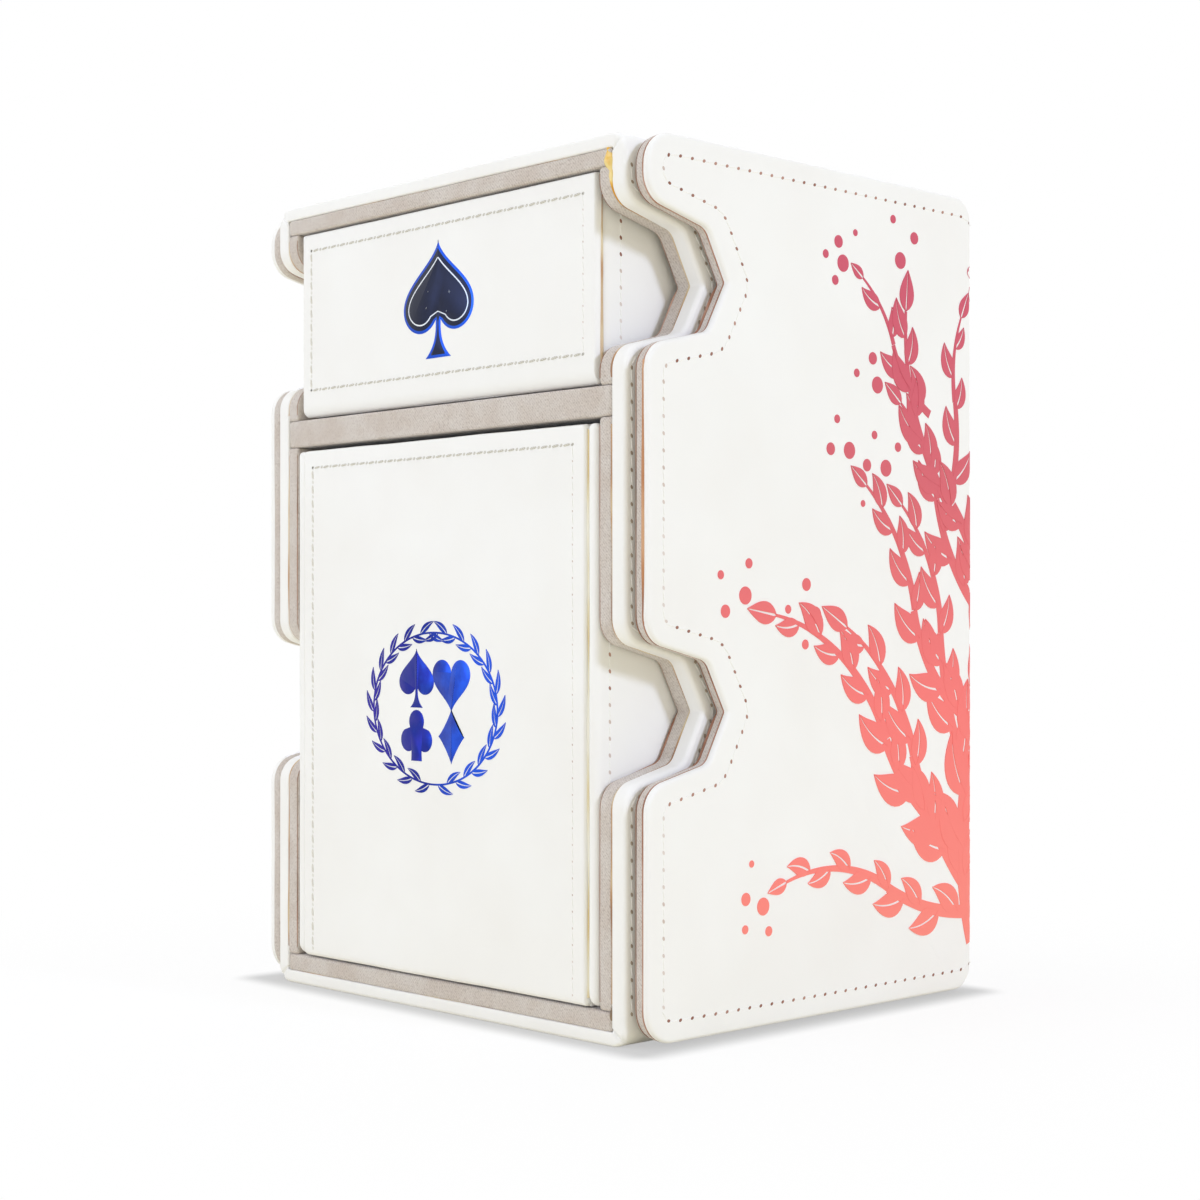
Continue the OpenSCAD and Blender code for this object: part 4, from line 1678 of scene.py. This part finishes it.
@dataclass
class CardTray(DrawerLook):
    """The card tray: a facing sewn on three sides between the soft ends of its side walls."""

    wall_end_r: float = 0.9
    wreath_w: float = 39.0
    wreath_h: float = 31.5
    suit_size: float = 8.8
    suit_gap: float = 9.6

    def build(self) -> None:
        """Makes the facing, the walls, the glue line and the foil."""
        low, high = self.facing("lower_tray_facing")
        for side in Side:
            self.wall(f"lower_tray_{side.word}_wall", side)
        self.glue("lower_tray_right_glue_line", high[0] + 0.1, low[1] + 0.75,
                  low[2] + 1.5, high[2] - 1.0, 0.22, PALE_GLUE)
        self.glue("lower_tray_left_glue_line", low[0] - 0.05, low[1] + 0.95,
                  low[2] + 1.5, high[2] - 1.0, 0.18, PALE_GLUE)
        self.stamp(low[1], (low[2] + high[2]) / 2)
        self.dress(LEATHER, "lower_tray_front_board", "lower_tray_back_wall", "lower_tray_floor")
        self.dress(SUEDE, "lower_tray_mat")

    def stamp(self, y: float, z: float) -> None:
        """Stamps an oval wreath of leaves round the four suits, two over two.

        Args:
            y: depth of the front.
            z: height of the middle.
        """
        motif = FoilMotif(Plane.front(y))
        # The leaves reach this far out of the ring that carries them
        leaf_out, count = 2.4, 44
        half_w, half_h = self.wreath_w / 2 - leaf_out, self.wreath_h / 2 - leaf_out
        turn = (np.arange(count) + 0.5) / count * 2 * math.pi
        base = np.stack([half_w * np.cos(turn), z + half_h * np.sin(turn)], axis=1)
        tangent = np.arctan2(half_h * np.cos(turn), -half_w * np.sin(turn))
        # The leaves climb on both sides from the foot of the wreath to its top
        climb = np.where(np.cos(turn) > 0, 0.0, math.pi)
        inner = np.tile([1.0, -1.0], count // 2)
        leaves = Blades(base, tangent + climb + inner * 0.62, np.full(count, 4.3), -0.5 * inner,
                        np.full(count, 0.62), midrib=0.12)
        self.add("lower_tray_wreath_leaves", motif.blades(leaves), FOIL)
        fine = np.linspace(0, 2 * math.pi, 121)[:-1]
        ring = np.stack([half_w * np.cos(fine), z + half_h * np.sin(fine)], axis=1)
        self.add("lower_tray_wreath_stem", motif.band(ring, 0.985, 1.01), FOIL)
        group = []
        for i, suit in enumerate(Suit):
            x, up = self.suit_gap * (i % 2 - 0.5), self.suit_gap * (0.5 - i // 2)
            group.append(motif.suit(suit, x, z + up, self.suit_size))
        self.add("lower_tray_suits_foil", joined(group), FOIL)


@dataclass
class JacketSheet:
    """The outer leather of one cover, unrolled: U runs from the spine round the fold to the front.

    The fold is a quarter round between the spine's plane and the cover's plane. Above and below it
    the edges dip in a bell, where the leather is pressed into the gap behind the case.
    """

    side: Side
    bend_r: float = 1.6
    spine_edge: float = 44.0
    panel_start: float = 36.0
    stitch_inset: float = 3.5
    dip: float = 2.7
    dip_w: float = 2.0
    dip_reach: float = 5.2
    notch_depth: float = 18.8
    # The stitch row keeps this much more leather in front of it at a notch's point
    row_margin: float = 1.0
    finger_r: float = 5.0
    corner_r: float = 5.6

    def __post_init__(self) -> None:
        """Takes the sheet's sizes from the cover's and the spine's leather."""
        low, high = node_box(f"{self.side.word}_cover_leather")
        _, spine_high = node_box("spine_leather")
        inner, outer = faces_out(low, high)
        self.thickness = outer - inner
        self.low, self.high = low[2], high[2]
        self.centre = np.array([outer - self.bend_r, spine_high[1] - self.bend_r])
        self.fold_start = float(self.centre[0]) - self.spine_edge
        self.fold_end = self.fold_start + self.bend_r * math.pi / 2
        self.fold_middle = (self.fold_start + self.fold_end) / 2
        self.panel_u = self.fold_end + float(self.centre[1]) - self.panel_start
        self.front_u = self.fold_end + float(self.centre[1] - low[1])

    def place(self, sheet: Array, height: Array | float) -> Array:
        """Wraps unrolled points round the fold.

        Args:
            sheet: points as (..., 2), U and Z.
            height: distance out of the leather's hidden face.

        Returns:
            Points as (..., 3).
        """
        u, z = sheet[..., 0], sheet[..., 1]
        angle = np.clip((u - self.fold_start) / self.bend_r, 0, math.pi / 2)
        radius = self.bend_r - self.thickness + height
        x = self.centre[0] + radius * np.sin(angle) + np.minimum(u - self.fold_start, 0)
        y = self.centre[1] + radius * np.cos(angle) - np.maximum(u - self.fold_end, 0)
        return xyz(x * self.side.value, y, z)

    def dipped(self, u: Array, inset: Array | float) -> Array:
        """How far an edge point moves inwards at the fold; points deeper in the sheet move less."""
        share = 1 - smooth((np.asarray(inset, float) - 0.5) / self.dip_reach)
        return self.dip * bump(u - self.fold_middle, self.dip_w) * share

    @property
    def mirrored(self) -> bool:
        """True on the side where U, Z and the way out are left-handed."""
        return self.side is Side.RIGHT

    def corners(self, start: float, notch: GemNotch) -> list[Corner]:
        """Corners from the back of the foot, up the front with its notches, to the back of the top.

        Args:
            start: U of the first and the last corner.
            notch: shape of the notches.

        Returns:
            The corners, with a hard edge back to the first.
        """
        listed = [Corner(start, self.low), Corner(self.front_u, self.low, self.corner_r)]
        for z in NOTCH_ZS:
            shape = replace(notch, z=z).corners(0.0, True)
            listed += [Corner(self.front_u - c.u, c.v, c.radius) for c in shape]
        return listed + [Corner(self.front_u, self.high, self.corner_r), Corner(start, self.high, 0.02, 0.0)]

    @property
    def notch(self) -> GemNotch:
        """The notch in the jacket and its board."""
        return GemNotch(0.0, self.notch_depth, finger_r=self.finger_r)

    def profile(self) -> BoardProfile:
        """Section of the leather's edge."""
        return BoardProfile(self.thickness, 0.22, 0.62, 0.06)

    def panel(self) -> Surface:
        """The flat part, from the fold to the front edge."""
        stations = self.profile().stations()
        outline = Outline(self.corners(self.panel_u, self.notch))
        rings = np.stack([outline.ring(inset) for inset in stations[:, 0]])
        return lofted(self.place(rings, stations[:, 1][:, None]), flip=self.mirrored)

    def strip(self) -> Surface:
        """The rest, from the spine round the fold: the edge's section at foot and top, carried along U."""
        inset, height = self.profile().stations().T
        u = np.unique(np.concatenate([np.linspace(0, self.fold_start, 9),
                                      np.linspace(self.fold_start, self.fold_end, 17),
                                      np.linspace(self.fold_end, self.panel_u, 12)]))
        moved = inset[None] + self.dipped(u[:, None], inset[None])
        z = np.concatenate([(self.low + moved)[:, ::-1], self.high - moved], axis=1)
        heights = np.concatenate([height[::-1], height])
        sheet = np.stack([np.broadcast_to(u[:, None], z.shape), z], axis=-1)
        return lofted(self.place(sheet, heights[None]), flip=self.mirrored)

    def stitch_path(self) -> tuple[Array, Array]:
        """The stitch row from the spine along the foot, up the front and back along the top.

        Returns:
            Points and normals.
        """
        notch = replace(self.notch, depth=self.notch_depth + self.row_margin,
                        finger_r=self.finger_r + 0.8, waist_r=2.0)
        corners = self.corners(0.0, notch)[:-1] + [Corner(0.0, self.high)]
        row = Outline(corners, closed=False).ring(self.stitch_inset)
        up = np.sign((self.low + self.high) / 2 - row[:, 1])
        row[:, 1] += up * self.dipped(row[:, 0], self.stitch_inset)
        path = self.place(row, self.thickness)
        return path, unit(path - self.place(row, 0.0))


@dataclass
class HingedCover(SubAssembly):
    """A cover: suede-wrapped board with magnets, and the leather jacket that folds round to the spine."""

    side: Side = Side.RIGHT
    bend_from: tuple[float, float] = (48.6, 43.25)
    bend_to: tuple[float, float] = (51.7, 40.2)
    board_r: float = 1.3
    # Heights between which cement shows at the front edge, if any does
    cement_z: tuple[float, float] | None = None
    raw_edge: Finish = LEATHER
    # In front of this depth the needle holes take the pale finish
    pale_holes_y: float = -37.6

    def __post_init__(self) -> None:
        """Unrolls the cover's leather."""
        self.sheet = JacketSheet(self.side)

    def bend(self, piece: bpy.types.Object) -> None:
        """Bakes the piece's placement into its mesh; the fold's ends are worked out, but the piece is
        neither bent nor tied to a body.
        """
        ends = [(x * self.side.value * MM, y * MM, 0.0) for x, y in (self.bend_from, self.bend_to)]
        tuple(ends[0])
        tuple(ends[1])
        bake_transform(piece)

    def build(self) -> None:
        """Makes the jacket, the board, the edge between them and all stitching."""
        word, sheet = self.side.word, self.sheet
        self.add(f"{word}_cover_jacket", sheet.panel() + sheet.strip(), LEATHER,
                 [f"{word}_cover_leather", f"{word}_hinge_fold"], self.bend)
        path, normals = sheet.stitch_path()
        seam = Seam()
        red_brown_holes = seam.holes(path, normals, lambda place: place[:, 1] > self.pale_holes_y)
        pale_holes = seam.holes(path, normals, lambda place: place[:, 1] <= self.pale_holes_y)
        self.add(f"{word}_cover_stitches_thread", seam.threads(path, normals), THREAD, attach=self.bend)
        self.add(f"{word}_cover_stitches_holes", red_brown_holes, HOLE, attach=self.bend)
        self.add(f"{word}_cover_front_stitches_holes", pale_holes, PALE_HOLE, attach=self.bend)
        self.board(f"{word}_cover")
        self.dress(NICKEL, f"{word}_cover_magnets")

    def board(self, prefix: str) -> None:
        """Makes the suede-wrapped board, the raw edge on it, a brown bead along its inner edge for the raw
        edge there and, on the notches' lower slopes, also the thin shadow in the gap (partly painted shade),
        and the stitch row on its inner face.

        Args:
            prefix: start of the nodes' names.
        """
        low, high = node_box(f"{prefix}_lining")
        inner, outer = faces_out(low, high)
        front, back = low[1], high[1]
        corners = [Corner(back, self.sheet.low, 2.0), Corner(back, self.sheet.high, 2.0),
                   Corner(front, self.sheet.high, self.sheet.corner_r)]
        for z in NOTCH_ZS[::-1]:
            corners += replace(self.sheet.notch, z=z).corners(front, False)
        outline = Outline(corners + [Corner(front, self.sheet.low, self.sheet.corner_r)])
        plane, profile = Plane.side(self.side, inner), BoardProfile(outer - inner, self.board_r, 0.3)
        suede = wrapped_board(outline, plane, profile, 0.05, self.side.value)
        self.add(f"{prefix}_suede_board", suede, SUEDE, [f"{prefix}_board", f"{prefix}_lining"])
        edge_plane, edge = Plane.side(self.side, outer - 0.3), BoardProfile(0.55, 0.1, 0.1, setback=0.02)
        self.add(f"{prefix}_raw_edge", wrapped_board(outline, edge_plane, edge, 0.02, 3.0), self.raw_edge)
        # Brown bead along the inner edge: the board's raw edge, and on the notches' lower slopes also the
        # thin shadow in the gap, painted shade
        ring = outline.ring(0.3)
        path = plane.place(ring[ring[:, 0] < front + self.sheet.notch_depth + 3], 0.35)
        radius = 0.26 + waviness(np.arange(len(path)) * Outline.SPACING, 0.08, 1.0)
        radius = radius * lower_slopes(path[:, 2], NOTCH_ZS, 0.25)
        self.add(f"{prefix}_inner_raw_edge", bead(path, radius), CUT_EDGE)
        if self.cement_z:
            self.add(f"{prefix}_front_cement", self.cement(outer, front), BURNT_GLUE)
        ring = outline.ring(self.sheet.stitch_inset)
        path = plane.place(np.concatenate([ring, ring[:1]]), 0.02)
        self.add_seam(f"{prefix}_inner_stitches", path, (-self.side.value, 0.0, 0.0))

    def cement(self, outer: float, front: float) -> Surface:
        """Cement between the jacket and the board at the front edge, thinning out at both ends."""
        z = np.linspace(*self.cement_z, 60)
        path = xyz(self.side.value * (outer + 0.05), front + 0.1, z)
        swell = np.sin(np.linspace(0.15, math.pi - 0.15, len(z))) ** 0.5
        return bead(path, 0.34 * swell + waviness(z, 0.06, 2.0))


@dataclass
class Spine(SubAssembly):
    """The leather across the back between the two folds."""

    def build(self) -> None:
        """Makes the sheet and its two stitch rows."""
        sheet = JacketSheet(Side.RIGHT)
        inset, height = sheet.profile().stations().T
        u = np.linspace(-2 * sheet.spine_edge, 0.0, 45)
        z = np.concatenate([sheet.low + inset[::-1], sheet.high - inset])
        grid = np.stack(np.broadcast_arrays(u[:, None], z[None]), axis=-1)
        heights = np.concatenate([height[::-1], height])
        leather = lofted(sheet.place(grid, heights[None]), flip=True)
        self.add("spine_jacket", leather, LEATHER, ["spine_leather"])
        levels = {"foot": sheet.low + sheet.stitch_inset, "top": sheet.high - sheet.stitch_inset}
        for name, level in levels.items():
            row = np.stack([u, np.full_like(u, level)], axis=-1)
            self.add_seam(f"spine_{name}_stitches", sheet.place(row, sheet.thickness), (0.0, 1.0, 0.0))
        self.dress(SUEDE, "spine_board")


@dataclass(frozen=True)
class Branch:
    """A branch of the vine: where it starts, its heading, and its arcs' lengths, turns and half widths."""

    start: tuple[float, float]
    heading: float
    lengths: tuple[float, ...]
    bends: tuple[float, ...]
    widths: tuple[float, ...]
    leaf: float = 10.5

    def stems(self) -> Blades:
        """Arcs joined end to end, each leaving on the heading at which the last one ended.

        An arc of length l that turns by b ends l sin(b/2)/(b/2) away, on its mean heading.
        """
        lengths, bends, widths = np.array(self.lengths), np.array(self.bends), np.array(self.widths)
        headings = self.heading + np.concatenate([[0], np.cumsum(bends[:-1])])
        chord = lengths * np.sinc(bends / 2 / math.pi)
        mean = headings + bends / 2
        steps = on_circle(mean) * chord[:, None]
        bases = np.array(self.start) + np.concatenate([np.zeros((1, 2)), np.cumsum(steps[:-1], axis=0)])
        return Blades(bases, headings, lengths, bends, widths[:-1], widths[1:], midrib=0.0, steps=33)


VINE = (
    Branch((7.0, 9.5), 1.25, (40.0, 44.0, 38.0), (0.7, -1.15, 0.85), (2.1, 1.7, 1.1, 0.3), 12.5),
    Branch((6.5, 27.0), 0.25, (34.0, 38.0), (0.85, -0.95), (1.5, 1.1, 0.25), 11.5),
    Branch((7.0, 15.0), 0.0, (26.0, 28.0), (0.5, -0.8), (1.3, 0.9, 0.25), 9.5),
    Branch((7.0, 50.0), 0.4, (28.0, 26.0), (0.95, -0.7), (1.3, 0.9, 0.25), 10.5),
    Branch((7.5, 18.0), 0.75, (32.0, 30.0), (0.5, -0.75), (1.5, 1.1, 0.25), 12.0),
    Branch((8.0, 38.0), 1.05, (30.0, 26.0), (0.45, -0.8), (1.3, 0.9, 0.25), 11.0),
    Branch((7.0, 72.0), 0.75, (22.0, 20.0), (0.6, -0.7), (1.2, 0.8, 0.25), 10.0),
    Branch((14.0, 91.0), 1.9, (18.0, 16.0), (-0.5, 0.6), (0.9, 0.6, 0.2), 8.5),
    Branch((20.0, 106.0), 0.5, (16.0, 14.0), (0.7, -0.6), (0.8, 0.5, 0.2), 8.0),
    Branch((6.0, 34.0), 2.3, (20.0, 20.0), (-0.6, 0.7), (1.2, 0.8, 0.2), 9.0),
    Branch((5.0, 66.0), 2.2, (18.0, 18.0), (-0.4, 0.8), (1.0, 0.7, 0.2), 8.5),
)


@dataclass
class ClimbingVine:
    """A climbing vine printed on the cover and round its fold: branches with leaves and berries."""

    cover: HingedCover
    branches: tuple[Branch, ...] = VINE
    leaf_pitch: float = 5.2
    lift: float = 0.05

    def place(self, sheet: Array, height: Array | float) -> Array:
        """Puts unrolled points on the leather's outer face."""
        return self.cover.sheet.place(sheet, self.cover.sheet.thickness + height)

    def leaves(self, branch: Branch) -> Blades:
        """Leaves on both sides of a branch in turn, smaller towards its tip, and one at the tip.

        Args:
            branch: the branch.

        Returns:
            The leaves.
        """
        line, heading = branch.stems().line()
        line, heading = line.reshape(-1, 2), heading.reshape(-1)
        count = int(sum(branch.lengths) / self.leaf_pitch)
        share = np.linspace(0.1, 1.0, count)
        at = np.round(share * (len(line) - 1)).astype(int)
        side = np.where(np.arange(count) % 2 == 0, 1.0, -1.0)
        side[-1] = 0.0
        size = branch.leaf * (1.0 - 0.42 * share) * (1 + 0.12 * np.sin(2.7 * np.arange(count)))
        turned = heading[at] + side * (0.85 - 0.2 * share)
        return Blades(line[at], turned, size, -0.7 * side, size * 0.26, midrib=0.24)

    def build(self) -> None:
        """Prints the stems, then the leaves over them, then the berries."""
        films: list[Surface] = []
        mirrored, layer_gap, over_stems = self.cover.sheet.mirrored, 0.004, 0.03
        for layer, branch in enumerate(self.branches[::-1]):
            lift = self.lift + layer_gap * layer
            for blades, height in ((branch.stems(), lift), (self.leaves(branch), lift + over_stems)):
                films.append(film_surface(blades.grids(), self.place, mirrored, height))
        berries = joined(self.berries(branch, number) for number, branch in enumerate(self.branches))
        self.cover.add("right_cover_printed_vine", joined(films), INK, attach=self.cover.bend)
        self.cover.add("right_cover_printed_berries", berries, INK, attach=self.cover.bend)

    def berries(self, branch: Branch, number: int) -> Surface:
        """Berries of falling size beyond a branch's tip and beside its outer half.

        Args:
            branch: the branch.
            number: turns the pattern from branch to branch.

        Returns:
            Their films.
        """
        line, heading = branch.stems().line()
        tip, way = line[-1, -1], heading[-1, -1]
        films: list[Surface] = []
        heights, usual_leaf = np.array([[-self.lift], [self.lift + 0.01]]), 11.0
        # Distance from the tip, angle off the branch, and radius
        spots = ((8.0, 0.25, 1.5), (12.0, -0.1, 1.1), (14.5, 0.3, 0.75), (10.5, 0.75, 0.85),
                 (11.0, -0.7, 0.6))
        for reach, swing, radius in spots[: 3 + number % 3]:
            angle = way + swing * (1 if number % 2 else -1)
            middle = tip + reach * branch.leaf / usual_leaf * on_circle(angle)
            stack = np.stack([disc_rim(radius) + middle] * 2)
            films.append(lofted(self.place(stack, heights), flip=self.cover.sheet.mirrored))
        return joined(films)


# ---- Studio ------------------------------------------------------------------------------


@dataclass(frozen=True)
class Lamp:
    """A square soft box aimed at the box: where it hangs, its size and its power."""

    name: str
    place: tuple[float, float, float]
    size: float
    power: float
    colour: str = "#ffffff"


@dataclass
class Studio:
    """Camera, soft boxes, world light and the pale sweep that the box stands on."""

    lens: float = 64.8
    camera_place: tuple[float, float, float] = (294.15, -283.15, 67.5)
    azimuth_deg: float = 46.4
    shift_y: float = 0.0225
    ambient: float = 0.67
    ambient_colour: str = "#faf7ee"
    # What the floor throws back on the box is warmer than it looks
    bounce_colour: str = "#efe9d0"
    # The sweep glows less for the camera near the box, where it shows the box's shadow
    shadow_glow: float = 0.85
    shadow_reach: float = 0.12
    # Right by the box's footprint the glow itself is dimmed, however the light falls: a painted contact
    # shadow
    painted_contact_shadow_glow: float = 0.6
    painted_contact_shadow_reach: float = 0.007
    footprint: tuple[float, float, float] = (0.0515, 0.043, 10.0)
    target: tuple[float, float, float] = (0.0, 0.0, 73.0)
    lamps: tuple[Lamp, ...] = (
        Lamp("key_spot_box", (1502.0, 300.0, 659.0), 190.0, 10.0, "#d6e1ff"),
        Lamp("front_soft_box", (-120.0, -640.0, 140.0), 520.0, 1.9, "#cddaff"),
        Lamp("top_soft_box", (-150.0, -200.0, 850.0), 500.0, 1.4, "#ffffff"),
        Lamp("back_soft_box", (-500.0, 500.0, 300.0), 600.0, 2.5, "#bccdff"),
    )

    def build(self) -> None:
        """Sets up everything round the box."""
        self.camera()
        for lamp in self.lamps:
            self.lamp(lamp)
        self.world()
        self.sweep()
        bpy.context.scene.view_settings.view_transform = "Standard"

    def camera(self) -> None:
        """Puts the camera level, with the frame shifted up as in the photograph."""
        data = bpy.data.cameras.new("studio_camera")
        data.lens, data.sensor_width, data.shift_y = self.lens, 36.0, self.shift_y
        data.clip_start, data.clip_end = 0.01, 20.0
        camera = in_scene("studio_camera", data)
        camera.location = [c * MM for c in self.camera_place]
        camera.rotation_euler = (math.pi / 2, 0.0, math.radians(self.azimuth_deg))
        bpy.context.scene.camera = camera

    def lamp(self, lamp: Lamp) -> None:
        """Hangs a soft box and aims it at the middle of the box.

        Args:
            lamp: the soft box.
        """
        data = bpy.data.lights.new(lamp.name, "AREA")
        data.shape, data.size, data.energy = "SQUARE", lamp.size * MM, lamp.power
        data.color = linear(lamp.colour)[:3]
        light = in_scene(lamp.name, data)
        place = np.array(lamp.place)
        aim = unit(np.array(self.target) - place)
        light.location = place * MM
        light.rotation_euler = (math.acos(-aim[2]), 0.0, math.atan2(aim[1], aim[0]) - math.pi / 2)

    def camera_or_mirror(self, tree: Tree) -> Socket:
        """1 for rays from the camera, and for those that show the surroundings in gloss or glass."""
        path = add_node(tree, "ShaderNodeLightPath").outputs
        seen = add_math(tree, "MAXIMUM", path["Is Camera Ray"], path["Is Glossy Ray"])
        return add_math(tree, "MAXIMUM", seen, path["Is Transmission Ray"])

    def world(self) -> None:
        """Even white surroundings: plain white where they are seen, the ambient level as light."""
        world = bpy.data.worlds.new("studio_world")
        world.use_nodes = True
        tree = world.node_tree
        tree.nodes.clear()
        light = add_node(tree, "ShaderNodeBackground",
                         {"Color": linear(self.ambient_colour), "Strength": self.ambient})
        seen = add_node(tree, "ShaderNodeBackground", {"Color": linear("#ffffff"), "Strength": 1.0})
        mix = add_node(tree, "ShaderNodeMixShader",
                       {0: self.camera_or_mirror(tree), 1: light.outputs[0], 2: seen.outputs[0]})
        add_node(tree, "ShaderNodeOutputWorld", {"Surface": mix.outputs[0]})
        bpy.context.scene.world = world

    def gap_to_box(self, tree: Tree) -> Socket:
        """Distance on the floor from the box's footprint: the length of max(|place| - footprint, 0)."""
        def vector_math(operation: str, *values: Any) -> Node:
            """Adds a vector math node on vectors or sockets."""
            return add_node(tree, "ShaderNodeVectorMath", dict(enumerate(values)), operation=operation)

        place = object_place(tree)
        size = vector_math("ABSOLUTE", place).outputs[0]
        past = vector_math("SUBTRACT", size, self.footprint).outputs[0]
        beyond = vector_math("MAXIMUM", past, (0.0, 0.0, 0.0)).outputs[0]
        return vector_math("LENGTH", beyond).outputs["Value"]

    def sweep_points(self) -> Array:
        """The floor runs level towards the back, then curves up; it faces the camera.

        Returns:
            Points as (row, column, 3).
        """
        span, front, back, radius, top, sunk = 3000.0, -2500.0, 1400.0, 500.0, 2600.0, 0.02
        turn = np.linspace(0, math.pi / 2, 24)[1:]
        level = np.concatenate([[front], np.linspace(-1500, back - radius, 12)])
        y = np.concatenate([level, back - radius + radius * np.sin(turn), [back]])[:, None]
        z = np.concatenate([0.0 * level, radius * (1 - np.cos(turn)), [top]])[:, None] - sunk
        x = np.linspace(-span, span, 25)[None]
        toward = math.radians(self.azimuth_deg)
        cosine, sine = math.cos(toward), math.sin(toward)
        return xyz(x * cosine - y * sine, x * sine + y * cosine, z)

    def sweep_material(self) -> bpy.types.Material:
        """White in the light, and for the camera glowing white, less so where the box's shadow shows; right
        by the box the glow is dimmed further, a painted contact shadow.
        """
        material = bpy.data.materials.new("studio_white_sweep")
        material.use_nodes = True
        tree = material.node_tree
        shader = tree.nodes["Principled BSDF"]
        camera = add_node(tree, "ShaderNodeLightPath").outputs["Is Camera Ray"]
        tone = add_node(tree, "ShaderNodeMix",
                        {"Factor": camera, 6: linear(self.bounce_colour), 7: linear("#fafafa")},
                        data_type="RGBA")
        fill(tree, shader, {"Base Color": tone.outputs[2], "Roughness": 0.9, "Specular IOR Level": 0.0})
        gap = self.gap_to_box(tree)
        # Dimmed glow near the footprint: painted contact shadow
        contact = add_node(tree, "ShaderNodeMapRange",
                           {"Value": gap, "From Max": self.painted_contact_shadow_reach, "To Min": self.painted_contact_shadow_glow},
                           interpolation_type="SMOOTHSTEP")
        glow = add_node(tree, "ShaderNodeEmission",
                        {"Color": linear("#ffffff"), "Strength": contact.outputs["Result"]})
        fade = add_node(tree, "ShaderNodeMapRange",
                        {"Value": gap, "From Max": self.shadow_reach, "To Min": self.shadow_glow},
                        interpolation_type="SMOOTHSTEP")
        share = add_math(tree, "MULTIPLY", self.camera_or_mirror(tree), fade.outputs["Result"])
        mix = add_node(tree, "ShaderNodeMixShader", {0: share, 1: shader.outputs[0], 2: glow.outputs[0]})
        fill(tree, tree.nodes["Material Output"], {"Surface": mix.outputs[0]})
        return material

    def sweep(self) -> None:
        """Lays the sweep under the box."""
        points = self.sweep_points()
        surface = Surface(points.reshape(-1, 3), grid_quads(*points.shape[:2])[:, ::-1].tolist())
        smooth_object("studio_sweep", surface, self.sweep_material())


def main() -> None:
    """Builds the box piece by piece and sets up the studio."""
    logging.basicConfig(level=logging.INFO, format="%(message)s")
    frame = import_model()
    nodes = frame["nodes"]
    Studio().build()
    CaseShell("case", nodes).build()
    Linings("case", nodes).build()
    Spine("case", nodes).build()
    UpperDrawer("upper_drawer", nodes).build()
    CardTray("lower_tray", nodes).build()
    right = HingedCover("right_cover", nodes, Side.RIGHT, cement_z=(68.0, 110.0), raw_edge=CUT_EDGE)
    left = HingedCover("left_cover", nodes, Side.LEFT)
    right.build()
    left.build()
    ClimbingVine(right).build()


if __name__ == "__main__":
    main()
